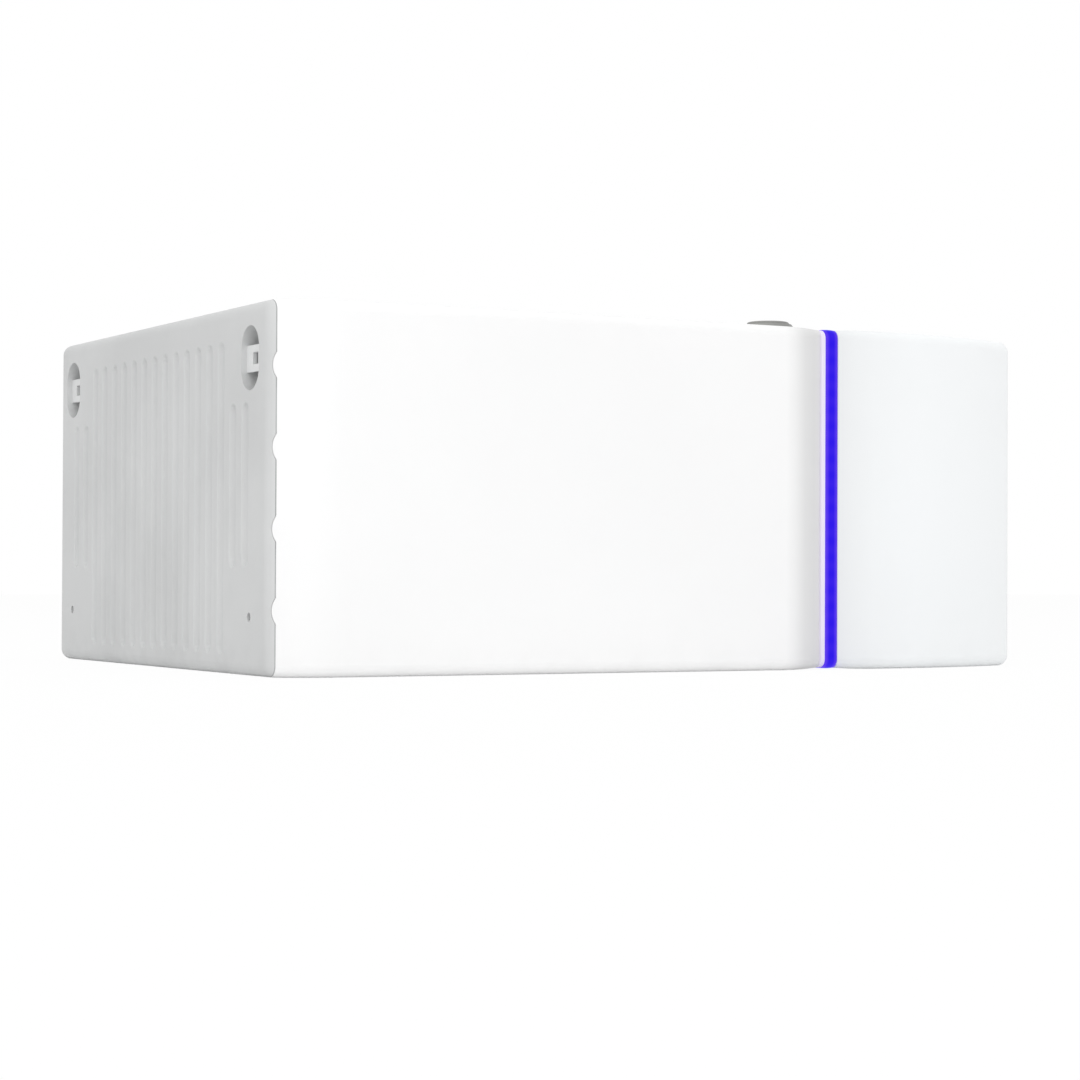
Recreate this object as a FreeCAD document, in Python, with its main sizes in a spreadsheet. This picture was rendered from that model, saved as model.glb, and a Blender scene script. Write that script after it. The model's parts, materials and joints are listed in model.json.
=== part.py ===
"""Wall battery unit: a die-cast ribbed rear plate, a smooth wrap shell, a light ring and a front cap around
a sixteen-cell pack and its electronics.

Frame: millimetres, +Z up, origin at the centre of the footprint. The ribbed wall side faces +Y and the front cap
faces -Y. Depth means the distance from the wall plane towards the front, so y = UnitLength / 2 - depth.
"""
import FreeCAD
import Part
import Sketcher

import math
import os
import re

Vector = FreeCAD.Vector

# Every driving dimension: name -> (millimetres or count, what it is).
SIZES = {
    "UnitLength": (624, "wall plane to the front cap's face"),
    "UnitWidth": (460, "side to side"),
    "UnitHeight": (250, "underside to top"),
    "RearReach": (46, "length over which the sides sweep in at the rear"),
    "RearSweep": (67, "plan radius of that sweep"),
    "RearCorner": (10, "plan radius where the sweep meets the wall side"),
    "FrontReach": (128, "length over which the sides sweep in at the front"),
    "FrontSweep": (320, "plan radius of that sweep"),
    "FrontCorner": (12, "plan radius where the sweep meets the front face"),
    "EdgeRound": (8, "radius of the long top and bottom edges"),
    "SeamDepth": (5.5, "depth of the seam between the casting and the shell"),
    "GasketThick": (0.6, "seal thickness in both casing joints"),
    "ShellWall": (3, "wall of the wrap shell and the front cap"),
    "CastingPlate": (8, "thickness of the casting, ribs and all"),
    "SpigotGap": (0.4, "clearance between the casting's spigot and the shell"),
    "GrooveCount": (17, "grooves across the wall side"),
    "GroovePitch": (21.8, "groove to groove"),
    "GrooveWidth": (11, "groove width at the surface"),
    "GrooveDepth": (4, "groove depth"),
    "GrooveSoft": (1.6, "rounding of the groove's lips"),
    "ShortGrooves": (2, "grooves each side that stop short of the hook pockets"),
    "LongTop": (226, "height of the long grooves' top ends"),
    "LongFoot": (14, "height of the long grooves' lower ends"),
    "ShortTop": (183, "height of the short grooves' top ends"),
    "ShortFoot": (73, "height of the short grooves' lower ends"),
    "FixingSide": (47, "hook pockets and lower holes, in from the sides"),
    "PocketDrop": (37.4, "hook pocket centre, down from the top"),
    "PocketWide": (31, "hook pocket width"),
    "PocketTall": (43.5, "hook pocket height"),
    "PocketDeep": (26, "hook pocket depth"),
    "CupWall": (3, "wall of the cup behind a hook pocket"),
    "HookPlateTall": (18, "height of the plate across a hook pocket"),
    "HookPlateThick": (3, "thickness of that plate"),
    "HookPlateDepth": (4, "how far that plate sits in"),
    "HookHoleWide": (9, "square hole in the plate, across"),
    "HookHoleTall": (8, "square hole in the plate, up"),
    "FootHoleRise": (39.5, "lower fixing holes above the underside"),
    "FootHoleRadius": (3, "lower fixing hole radius"),
    "FootHoleDeep": (16, "lower fixing hole depth"),
    "FootBossRadius": (7, "boss behind a lower fixing hole"),
    "TongueCount": (4, "shell tongues down each rear corner"),
    "TonguePitch": (54, "tongue to tongue"),
    "TongueRadius": (18, "radius of a tongue's rounded end"),
    "TongueReach": (2.5, "how far a tongue reaches into the casting's rim"),
    "TongueSide": (24, "inner end of a tongue's notch, in from the side"),
    "TongueGap": (0.3, "clearance round a tongue"),
    "RollStart": (401, "depth where the shell starts to fall towards the light ring"),
    "RollEnd": (429.5, "depth of the shell's front end"),
    "RollSide": (3.5, "fall at the sides"),
    "RollTop": (1.5, "fall at the top and underside"),
    "RollSteps": (4, "sections that shape the fall"),
    "LipStart": (422, "depth where the shell's inner lip starts"),
    "LipDeep": (4, "how far the lip stands in from the wall"),
    "RimInset": (1.6, "pale rim beside the light ring, in from the envelope"),
    "LightStart": (433, "depth of the light ring's rear side"),
    "LightWide": (10.6, "width of the light ring"),
    "LightInset": (0.9, "light ring's outer face, in from the envelope"),
    "LightDeep": (7.5, "light ring's radial thickness"),
    "LedBoard": (1.2, "thickness of the light boards"),
    "HubInset": (10, "outer face of the mid frame's hub, in from the envelope"),
    "HubWall": (9, "hub's radial thickness"),
    "HubNose": (5, "how far the hub reaches into the front cap"),
    "HubGap": (0.2, "clearance between the hub and the front cap"),
    "CapSide": (1.8, "front cap's rear edge, in from the envelope at the sides"),
    "CapTop": (1.2, "the same at the top and underside"),
    "CapRise": (34, "length over which the front cap swells to full size"),
    "PostSide": (40, "front cap's screw posts, in from the sides"),
    "PostRise": (36, "the same posts, in from top and underside"),
    "PostRadius": (7, "post radius"),
    "PostEnd": (2, "post ends, short of the front face"),
    "ScrewShank": (2, "casing screw shank radius"),
    "ScrewClear": (2.5, "clearance hole radius for a casing screw"),
    "ScrewHead": (3.9, "casing screw head radius"),
    "ScrewHeadTall": (2.4, "casing screw head height"),
    "ScrewGrip": (16, "casing screw length in its post"),
    "BossWide": (12, "width of the shell's rear screw bosses"),
    "BossTall": (34, "how far those bosses stand in from the shell"),
    "BossDeep": (10, "depth of those bosses"),
    "PadRadius": (6, "radius of the casting's pad behind each boss"),
    "PadDepth": (12, "depth where those pads meet the bosses"),
    "PadHole": (6.5, "depth of the threaded hole in each pad"),
    "PadThread": (6, "length of screw in a pad"),
    "BossScrewSide": (44, "inner pair of casting screws from the middle"),
    "BossScrewPair": (88, "inner to outer casting screw"),
    "BossScrewRise": (24, "casting screws in from top and underside"),
    "ButtonDepth": (400, "depth of the power button"),
    "ButtonSide": (28, "power button, in from the side"),
    "BezelFlange": (19, "bezel flange radius"),
    "BezelSink": (0.8, "how far the flange sinks into the shell"),
    "BezelRise": (2.6, "bezel height above the shell"),
    "BezelLip": (17.2, "bezel radius at its top"),
    "BezelBarrel": (17.2, "bezel barrel radius"),
    "BezelBore": (15.7, "bezel bore radius"),
    "BezelRelief": (16.4, "wider bore under the bezel's shoulder"),
    "BezelShoulder": (2, "shoulder's underside, down from the top face"),
    "BezelDrop": (18.6, "length of the bezel's barrel under the top face"),
    "BarrelGap": (0.1, "clearance round the barrel"),
    "CapFit": (0.08, "running clearance between button and bezel"),
    "ButtonRise": (4.4, "button height above the top face"),
    "ButtonRound": (1.8, "rounding of the button's edge"),
    "ButtonRoof": (3, "thickness of the button's top"),
    "ButtonLip": (16.2, "radius of the lip that keeps the button in"),
    "ButtonLipTall": (2.5, "height of that lip"),
    "ButtonSkirt": (2.2, "wall of the button's skirt"),
    "ButtonStem": (2.5, "stem radius"),
    "ButtonTravel": (2.5, "button travel"),
    "SwitchTall": (5, "tact switch height"),
    "SwitchWide": (8, "tact switch width"),
    "SwitchGap": (0.1, "stem to switch at full travel"),
    "ButtonBoard": (1.6, "thickness of the button's board"),
    "SpringRadius": (8, "button spring's coil radius"),
    "SpringWire": (0.6, "button spring's wire radius"),
    "SpringTurns": (6, "button spring's turns"),
    "NutRadius": (19.8, "bezel nut radius"),
    "NutTall": (4, "bezel nut height"),
    "PackMargin": (15.25, "room between the pack's end plates and the shell"),
    "CellDeep": (160, "cell length"),
    "PackRoom": (132, "height of the casing that the cells leave free"),
    "CellGap": (0.5, "insulating gap between cells"),
    "CellColumns": (8, "cells side by side"),
    "CellRows": (2, "rows of cells"),
    "RowGap": (2, "gap between rows"),
    "TerminalRadius": (6, "cell terminal radius"),
    "TerminalTall": (3, "cell terminal height"),
    "TerminalIn": (25, "terminal, in from the cell's end"),
    "VentRadius": (8, "cell vent radius"),
    "VentSink": (0.8, "cell vent depth"),
    "PackStart": (66, "depth of the cell pack's rear end"),
    "TraySheet": (2, "tray and shelf sheet thickness"),
    "TrayMargin": (12, "tray beyond the cells at each side"),
    "TrayLip": (12, "height of the tray's end lips"),
    "EndPlate": (10, "thickness of the pack's end plates"),
    "PackSpace": (17, "room over the cells, up to the shelf"),
    "RodRadius": (3, "tie rod radius"),
    "RodClear": (0.2, "clearance round a tie rod"),
    "RodNut": (5.5, "tie rod nut radius"),
    "RodNutThick": (4, "tie rod nut thickness"),
    "BarThick": (2, "busbar thickness"),
    "BarWide": (18, "busbar width"),
    "BarOver": (11, "busbar beyond the terminals' centres"),
    "StandoffRadius": (3.5, "board standoff radius"),
    "BoardThick": (1.6, "circuit board thickness"),
    "BoardInset": (6, "standoffs, in from the board's edges"),
    "BmsWide": (150, "battery management board, across"),
    "BmsDeep": (120, "battery management board, front to back"),
    "BmsSide": (100, "battery management board's centre, left of the middle"),
    "BmsDepth": (190, "battery management board's centre depth"),
    "BmsLift": (8, "battery management board over the shelf"),
    "ContactorWide": (58, "contactor, across and deep"),
    "ContactorTall": (52, "contactor height"),
    "ContactorSide": (60, "contactor, right of the middle"),
    "ContactorDepth": (340, "contactor's centre depth"),
    "ContactorPost": (5, "contactor's terminal radius"),
    "ContactorPostTall": (10, "contactor's terminal height"),
    "FuseRadius": (12, "main fuse radius"),
    "FuseLong": (64, "main fuse length"),
    "FuseSide": (50, "main fuse's centre, left of the middle"),
    "FuseDepth": (330, "main fuse's centre depth"),
    "FuseLift": (20, "main fuse's axis over the shelf"),
    "FuseHolder": (22, "fuse holder block, across"),
    "CoreWide": (96, "transformer core, across"),
    "CoreDeep": (34, "transformer core, front to back"),
    "CoreTall": (80, "transformer core height"),
    "CoreLimb": (16, "transformer core's outer limb and yoke"),
    "CoreSide": (70, "transformer, right of the middle"),
    "CoreDepth": (170, "transformer's centre depth"),
    "CoilProud": (10, "coil beyond the core at front and back"),
    "PowerWide": (300, "power board, across"),
    "PowerTall": (140, "power board height"),
    "PowerFoot": (40, "power board's lower edge over the underside"),
    "PowerLift": (9, "power board in front of the casting"),
    "ModuleCount": (4, "power modules on the casting"),
    "ModuleWide": (48, "power module, across"),
    "ModuleTall": (30, "power module height"),
    "ModuleRise": (30, "power modules over the board's lower edge"),
    "ModulePitch": (66, "power module to module"),
    "CapacitorRadius": (16, "link capacitor radius"),
    "CapacitorLong": (36, "link capacitor length"),
    "CapacitorRise": (108, "link capacitors over the board's lower edge"),
    "ChokeRadius": (26, "choke radius"),
    "ChokeBore": (11, "choke bore radius"),
    "ChokeThick": (28, "choke thickness"),
    "ChokeRise": (48, "choke's centre over the board's lower edge"),
    "BayTall": (70, "connector bay, height of its mouth"),
    "BayLong": (150, "connector bay, length of its mouth"),
    "BayDepth": (180, "connector bay's centre depth"),
    "BayDrop": (60, "connector bay's centre, down from the top"),
    "BaySink": (38, "connector bay's floor, in from the side"),
    "BayWall": (2.5, "connector bay's wall"),
    "BayFlange": (7, "connector bay's flange"),
    "BayGap": (0.3, "clearance round the bay's mouth"),
    "BayFlush": (0.6, "bay's mouth, in from the side"),
    "SocketRadius": (11, "power socket radius"),
    "SocketBore": (8.5, "power socket bore radius"),
    "SocketTall": (22, "power socket height"),
    "SocketPin": (3, "power socket's pin radius"),
    "SocketPinTall": (8, "power socket's pin, out of the bay's floor"),
    "SocketPitch": (32, "power socket to socket"),
    "SocketRise": (16, "power sockets over the bay's middle"),
    "SocketSide": (48, "power sockets' middle, behind the bay's middle"),
    "DataWide": (16, "data socket, front to back"),
    "DataTall": (14, "data socket height"),
    "DataProud": (15, "data socket, out of the bay's floor"),
    "DataWall": (2, "data socket's wall"),
    "StudRadius": (3, "earth stud radius"),
    "StudLong": (18, "earth stud length"),
    "StudNut": (5.5, "earth stud nut radius"),
    "StudNutTall": (5, "earth stud nut height"),
    "VentPlugRadius": (8, "pressure vent radius"),
    "VentPlugTall": (4, "pressure vent height"),
    "ServiceRise": (18, "data socket, stud and vent under the bay's middle"),
    "KnobRadius": (17, "isolator knob radius"),
    "KnobTall": (14, "isolator knob height"),
    "KnobRib": (9, "width of the knob's grip rib"),
    "KnobRibTall": (8, "height of the knob's grip rib"),
    "KnobGap": (0.4, "knob over the bay's floor"),
    "KnobShaft": (5, "isolator shaft radius"),
    "ShaftFit": (0.05, "running clearance round the isolator shaft"),
    "ShaftLong": (16, "isolator shaft's reach behind the knob"),
    "KnobSide": (44, "isolator knob's centre, in front of the bay's middle"),
    "IsolatorWide": (44, "isolator body, front to back and up"),
    "IsolatorDeep": (30, "isolator body behind the bay's floor"),
    "ControlWide": (200, "control board, across"),
    "ControlTall": (110, "control board height"),
    "ControlLift": (8, "control board in front of the mid frame"),
    "WindowWide": (56, "mid frame's cable windows, across"),
    "WindowTall": (40, "mid frame's cable windows, up"),
    "WindowRise": (36, "mid frame's cable windows, in from top and underside"),
}

WORD = re.compile(r"[A-Za-z_]\w*")
TURNS = {
    "x": FreeCAD.Rotation(Vector(0, 1, 0), 90),
    "depth": FreeCAD.Rotation(Vector(1, 0, 0), 90),
    "z": FreeCAD.Rotation(),
}
HALF_WIDTH = "UnitWidth / 2"
HALF_HEIGHT = "UnitHeight / 2"

doc = FreeCAD.newDocument("BatteryUnit")
sheet = doc.addObject("Spreadsheet::Sheet", "Sizes")
for row, (alias, (amount, meaning)) in enumerate(SIZES.items(), start=1):
    sheet.set(f"A{row}", meaning)
    sheet.set(f"B{row}", str(amount))
    sheet.setAlias(f"B{row}", alias)
doc.recompute()


def bound(formula):
    """Write a formula on the sheet's names as an expression that FreeCAD binds."""
    return WORD.sub(lambda word: "Sizes." + word.group() if word.group() in SIZES else word.group(), str(formula))


def value(alias):
    """Read a size from the sheet."""
    return float(sheet.get(alias))


def count(alias):
    """Read a whole number from the sheet."""
    return int(sheet.get(alias))


def place(item, x, depth, z):
    """Bind an object's position to formulas for x, depth and height."""
    item.setExpression("Placement.Base.x", bound(x))
    item.setExpression("Placement.Base.y", bound(f"UnitLength / 2 - ({depth})"))
    item.setExpression("Placement.Base.z", bound(z))


def block(name, across, deep, up):
    """Make a box between a low and a high formula in x, depth and height."""
    box = doc.addObject("Part::Box", name)
    for side, (low, high) in (("Length", across), ("Width", deep), ("Height", up)):
        box.setExpression(side, bound(f"({high}) - ({low})"))
    place(box, across[0], deep[1], up[0])
    return box


def centred(name, x, depth, z, across, deep, up):
    """Make a box of the given size about a centre in x and depth, standing on height z."""
    return block(
        name,
        (f"({x}) - ({across}) / 2", f"({x}) + ({across}) / 2"),
        (f"({depth}) - ({deep}) / 2", f"({depth}) + ({deep}) / 2"),
        (z, f"({z}) + ({up})"),
    )


def rod(name, axis, radius, start, length):
    """Make a cylinder from a start point (x, depth, height) along x, depth or z."""
    cylinder = doc.addObject("Part::Cylinder", name)
    cylinder.setExpression("Radius", bound(radius))
    cylinder.setExpression("Height", bound(length))
    cylinder.Placement = FreeCAD.Placement(Vector(), TURNS[axis])
    place(cylinder, *start)
    return cylinder


def ball(name, radius, centre):
    """Make a sphere about a centre (x, depth, height)."""
    sphere = doc.addObject("Part::Sphere", name)
    sphere.setExpression("Radius", bound(radius))
    place(sphere, *centre)
    return sphere


def join(name, pieces):
    """Fuse several objects into one."""
    fused = doc.addObject("Part::MultiFuse", name)
    fused.Shapes = pieces
    return fused


def meet(name, pieces):
    """Keep what several objects have in common."""
    shared = doc.addObject("Part::MultiCommon", name)
    shared.Shapes = pieces
    return shared


def cut(name, base, tools):
    """Cut one or more tools from a base."""
    tool = tools[0] if len(tools) == 1 else join(name + "_tools", tools)
    result = doc.addObject("Part::Cut", name)
    result.Base = base
    result.Tool = tool
    return result


def group(name, pieces):
    """Gather separate solids in one object."""
    gathered = doc.addObject("Part::Compound", name)
    gathered.Links = pieces
    return gathered


def rounded_outline(sketch, half_wide, half_tall, upper_radius, lower_radius):
    """Draw a rounded rectangle about the sketch's origin, with one radius above and one below."""
    wide, tall, upper, lower = 200, 100, 20, 15
    corners = [(wide - upper, tall - upper, upper, 0, 90), (wide - lower, lower - tall, lower, 270, 360)]
    corners += [(lower - wide, lower - tall, lower, 180, 270), (upper - wide, tall - upper, upper, 90, 180)]
    turn = FreeCAD.Units.Quantity("1 deg").getValueAs("rad").Value
    for x, y, radius, first, last in corners:
        circle = Part.Circle(Vector(x, y), Vector(0, 0, 1), radius)
        sketch.addGeometry(Part.ArcOfCircle(circle, first * turn, last * turn))
    ends = [((wide, tall - upper), (wide, lower - tall)), ((wide - lower, -tall), (lower - wide, -tall))]
    ends += [((-wide, lower - tall), (-wide, tall - upper)), ((upper - wide, tall), (wide - upper, tall))]
    for (x1, y1), (x2, y2) in ends:
        sketch.addGeometry(Part.LineSegment(Vector(x1, y1), Vector(x2, y2)))
    for first, first_end, second, second_end in (
        (0, 1, 4, 1), (4, 2, 1, 2), (1, 1, 5, 1), (5, 2, 2, 2), (2, 1, 6, 1), (6, 2, 3, 2), (3, 1, 7, 1), (7, 2, 0, 2)
    ):
        sketch.addConstraint(Sketcher.Constraint("Tangent", first, first_end, second, second_end))
    for direction, line in (("Vertical", 4), ("Horizontal", 5), ("Vertical", 6), ("Horizontal", 7)):
        sketch.addConstraint(Sketcher.Constraint(direction, line))
    sketch.addConstraint(Sketcher.Constraint("Equal", 0, 3))
    sketch.addConstraint(Sketcher.Constraint("Equal", 1, 2))
    for name, formula, constraint in (
        ("upper", upper_radius, Sketcher.Constraint("Radius", 0, upper)),
        ("lower", lower_radius, Sketcher.Constraint("Radius", 1, lower)),
        ("right", half_wide, Sketcher.Constraint("DistanceX", -1, 1, 4, 1, wide)),
        ("left", half_wide, Sketcher.Constraint("DistanceX", 6, 1, -1, 1, wide)),
        ("top", half_tall, Sketcher.Constraint("DistanceY", -1, 1, 7, 1, tall)),
        ("foot", half_tall, Sketcher.Constraint("DistanceY", 5, 1, -1, 1, tall)),
    ):
        index = sketch.addConstraint(constraint)
        sketch.renameConstraint(index, name)
        sketch.setExpression("Constraints." + name, bound(formula))


def section(name, side_inset, top_inset, depth):
    """Draw the casing's cross-section at a depth, set in from the envelope at the sides and at the top."""
    sketch = doc.addObject("Sketcher::SketchObject", name)
    sketch.Placement = FreeCAD.Placement(Vector(), TURNS["depth"])
    radius = f"max(EdgeRound - max({side_inset}; {top_inset}); 2)"
    rounded_outline(sketch, f"{HALF_WIDTH} - ({side_inset})", f"{HALF_HEIGHT} - ({top_inset})", radius, radius)
    place(sketch, 0, depth, HALF_HEIGHT)
    return sketch


def section_slab(name, inset, start, end):
    """Fill the casing's cross-section between two depths."""
    slab = doc.addObject("Part::Extrusion", name)
    slab.Base = section(name + "_outline", inset, inset, start)
    slab.DirMode = "Normal"
    slab.Solid = True
    slab.setExpression("LengthFwd", bound(f"({end}) - ({start})"))
    return slab


def swell(name, insets):
    """Loft smoothly through sections given as (side inset, top inset, depth)."""
    loft = doc.addObject("Part::Loft", name)
    loft.Sections = [section(f"{name}_section_{index}", *inset) for index, inset in enumerate(insets)]
    loft.Solid = True
    return loft


def corner_centre(end):
    """The small arc's centre at one end, in from the middle, and the angle where the sweep meets it."""
    sweep, corner, reach = (value(end + part) for part in ("Sweep", "Corner", "Reach"))
    across = math.sqrt((sweep - corner) ** 2 - (reach - corner) ** 2)
    return value("UnitWidth") / 2 - sweep + across, math.degrees(math.atan2(reach - corner, across))


def plan_outline(sketch, insets):
    """Draw the casing's plan, set in by named sizes: straight sides that sweep in to a small corner at each end."""
    margin = sum(value(alias) for alias in insets)
    inset = " + ".join(insets) or "0"
    wide = value("UnitWidth") / 2 - margin
    long = value("UnitLength") / 2 - margin
    rear_x, rear_turn = corner_centre("Rear")
    front_x, front_turn = corner_centre("Front")
    sizes = {}
    for end in ("Rear", "Front"):
        for part in ("Sweep", "Corner", "Reach"):
            sizes[end + part] = value(end + part) - margin
    rear_y, front_y = long - sizes["RearReach"], sizes["FrontReach"] - long
    rear_in, front_in = wide - sizes["RearSweep"], wide - sizes["FrontSweep"]

    def line(x1, y1, x2, y2):
        sketch.addGeometry(Part.LineSegment(Vector(x1, y1), Vector(x2, y2)))

    def arc(x, y, radius, first, last):
        circle = Part.Circle(Vector(x, y), Vector(0, 0, 1), radius)
        sketch.addGeometry(Part.ArcOfCircle(circle, math.radians(first), math.radians(last)))

    line(wide, front_y, wide, rear_y)
    arc(rear_in, rear_y, sizes["RearSweep"], 0, rear_turn)
    arc(rear_x, long - sizes["RearCorner"], sizes["RearCorner"], rear_turn, 90)
    line(rear_x, long, -rear_x, long)
    arc(-rear_x, long - sizes["RearCorner"], sizes["RearCorner"], 90, 180 - rear_turn)
    arc(-rear_in, rear_y, sizes["RearSweep"], 180 - rear_turn, 180)
    line(-wide, rear_y, -wide, front_y)
    arc(-front_in, front_y, sizes["FrontSweep"], 180, 180 + front_turn)
    arc(-front_x, sizes["FrontCorner"] - long, sizes["FrontCorner"], 180 + front_turn, 270)
    line(-front_x, -long, front_x, -long)
    arc(front_x, sizes["FrontCorner"] - long, sizes["FrontCorner"], 270, 360 - front_turn)
    arc(front_in, front_y, sizes["FrontSweep"], 360 - front_turn, 360)
    total = sketch.GeometryCount
    for index in range(total):
        sketch.addConstraint(Sketcher.Constraint("Tangent", index, 2, (index + 1) % total, 1))
    for direction, index in (("Vertical", 0), ("Horizontal", 3), ("Vertical", 6), ("Horizontal", 9)):
        sketch.addConstraint(Sketcher.Constraint(direction, index))
    for first, second in ((1, 5), (2, 4), (7, 11), (8, 10)):
        sketch.addConstraint(Sketcher.Constraint("Equal", first, second))
    half_long = f"UnitLength / 2 - ({inset})"
    half_wide = f"{HALF_WIDTH} - ({inset})"
    for name, formula, constraint in (
        ("rear_sweep", f"RearSweep - ({inset})", Sketcher.Constraint("Radius", 1, sizes["RearSweep"])),
        ("rear_corner", f"RearCorner - ({inset})", Sketcher.Constraint("Radius", 2, sizes["RearCorner"])),
        ("front_sweep", f"FrontSweep - ({inset})", Sketcher.Constraint("Radius", 7, sizes["FrontSweep"])),
        ("front_corner", f"FrontCorner - ({inset})", Sketcher.Constraint("Radius", 8, sizes["FrontCorner"])),
        ("right", half_wide, Sketcher.Constraint("DistanceX", -1, 1, 0, 1, wide)),
        ("left", half_wide, Sketcher.Constraint("DistanceX", 6, 1, -1, 1, wide)),
        ("rear", half_long, Sketcher.Constraint("DistanceY", -1, 1, 3, 1, long)),
        ("front", half_long, Sketcher.Constraint("DistanceY", 9, 1, -1, 1, long)),
        ("right_rear", f"RearReach - ({inset})", Sketcher.Constraint("DistanceY", 0, 2, 3, 1, sizes["RearReach"])),
        ("left_rear", f"RearReach - ({inset})", Sketcher.Constraint("DistanceY", 6, 1, 3, 2, sizes["RearReach"])),
        ("right_front", f"FrontReach - ({inset})", Sketcher.Constraint("DistanceY", 9, 2, 0, 1, sizes["FrontReach"])),
        ("left_front", f"FrontReach - ({inset})", Sketcher.Constraint("DistanceY", 9, 1, 6, 2, sizes["FrontReach"])),
    ):
        index = sketch.addConstraint(constraint)
        sketch.renameConstraint(index, name)
        sketch.setExpression("Constraints." + name, bound(formula))


def plan_block(name, *insets):
    """Pad the casing's plan, set in all round by named sizes, and round its long top and bottom edges."""
    inset = " + ".join(insets) or "0"
    body = doc.addObject("PartDesign::Body", name)
    sketch = body.newObject("Sketcher::SketchObject", name + "_plan")
    planes = {feature.Role: feature for feature in body.Origin.OriginFeatures}
    sketch.AttachmentSupport = (planes["XY_Plane"], [""])
    sketch.MapMode = "FlatFace"
    plan_outline(sketch, insets)
    pad = body.newObject("PartDesign::Pad", name + "_pad")
    pad.Profile = sketch
    pad.setExpression("Length", bound(f"UnitHeight - 2 * ({inset})"))
    place(body, 0, "UnitLength / 2", inset)
    doc.recompute()
    level = [
        f"Edge{index}"
        for index, edge in enumerate(pad.Shape.Edges, start=1)
        if abs(edge.BoundBox.ZLength) < 1e-6
    ]
    fillet = body.newObject("PartDesign::Fillet", name + "_rounds")
    fillet.Base = (pad, level)
    fillet.setExpression("Radius", bound(f"EdgeRound - ({inset})"))
    body.Tip = fillet
    return body


def slice_across(name, form, start, end):
    """Keep what lies between two depths of a form."""
    rim = f"{HALF_WIDTH} + 1"
    return meet(name, [form, block(name + "_slab", (f"-({rim})", rim), (start, end), (-1, "UnitHeight + 1"))])


def obround(name, x, z, wide, tall, start, end):
    """Make an upright round-ended bar about (x, z), running between two depths."""
    reach = f"(({tall}) - ({wide})) / 2"
    length = f"({end}) - ({start})"
    middle = block(
        name + "_middle",
        (f"({x}) - ({wide}) / 2", f"({x}) + ({wide}) / 2"),
        (start, end),
        (f"({z}) - {reach}", f"({z}) + {reach}"),
    )
    caps = [
        rod(f"{name}_cap_{side}", "depth", f"({wide}) / 2", (x, start, f"({z}) {sign} {reach}"), length)
        for side, sign in (("top", "+"), ("foot", "-"))
    ]
    return join(name, [middle, *caps])


def groove(name, x, foot, top):
    """Make a round-bottomed, round-ended groove tool standing between two heights."""
    radius = "(GrooveWidth * GrooveWidth / 4 + GrooveDepth * GrooveDepth) / (2 * GrooveDepth)"
    depth = f"GrooveDepth - {radius}"
    low = f"({foot}) + GrooveWidth / 2"
    high = f"({top}) - GrooveWidth / 2"
    bar = rod(name + "_bar", "z", radius, (x, depth, low), f"({high}) - ({low})")
    ends = [ball(f"{name}_{end}", radius, (x, depth, z)) for end, z in (("low", low), ("high", high))]
    return join(name, [bar, *ends])


def screw(name, axis, x, depth, z, shank):
    """Make a pan-head screw whose head is seated at a depth and points towards the wall side."""
    head = rod(name + "_head", axis, "ScrewHead", (x, f"({depth}) - ScrewHeadTall", z), "ScrewHeadTall")
    stem = rod(name + "_stem", axis, "ScrewShank", (x, depth, z), shank)
    return join(name, [head, stem])


def envelope():
    """The outer form that the casing pieces are cut from."""
    return plan_block("envelope")


def hollow():
    """The shell's inside, a wall's thickness in from the envelope."""
    return slice_across("hollow", plan_block("hollow_form", "ShellWall"), 0, "LipStart")


def tongue_places():
    """Each tongue's number and height, from the lowest up."""
    total = count("TongueCount")
    return [(index, f"{HALF_HEIGHT} + ({index} - {total - 1} / 2) * TonguePitch") for index in range(total)]


def tongue_tools(name, gap):
    """Discs at both sides whose rounded ends give the tongues, and with no gap the notches for them."""
    depth = "SeamDepth - TongueReach + TongueRadius"
    length = f"TongueSide - ({gap}) + 1"
    starts = (("left", f"-{HALF_WIDTH} - 1"), ("right", f"{HALF_WIDTH} - TongueSide + ({gap})"))
    return [
        rod(f"{name}_{hand}_{index}", "x", f"TongueRadius - ({gap})", (start, depth, z), length)
        for index, z in tongue_places()
        for hand, start in starts
    ]


def casting_screw_places():
    """Each casting screw's x and height: two pairs along the top and two along the underside."""
    rows = ("BossScrewRise", "UnitHeight - BossScrewRise")
    steps = ("BossScrewSide", "(BossScrewSide + BossScrewPair)")
    return [(f"{sign}{step}", z) for z in rows for step in steps for sign in ("", "-")]


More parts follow.
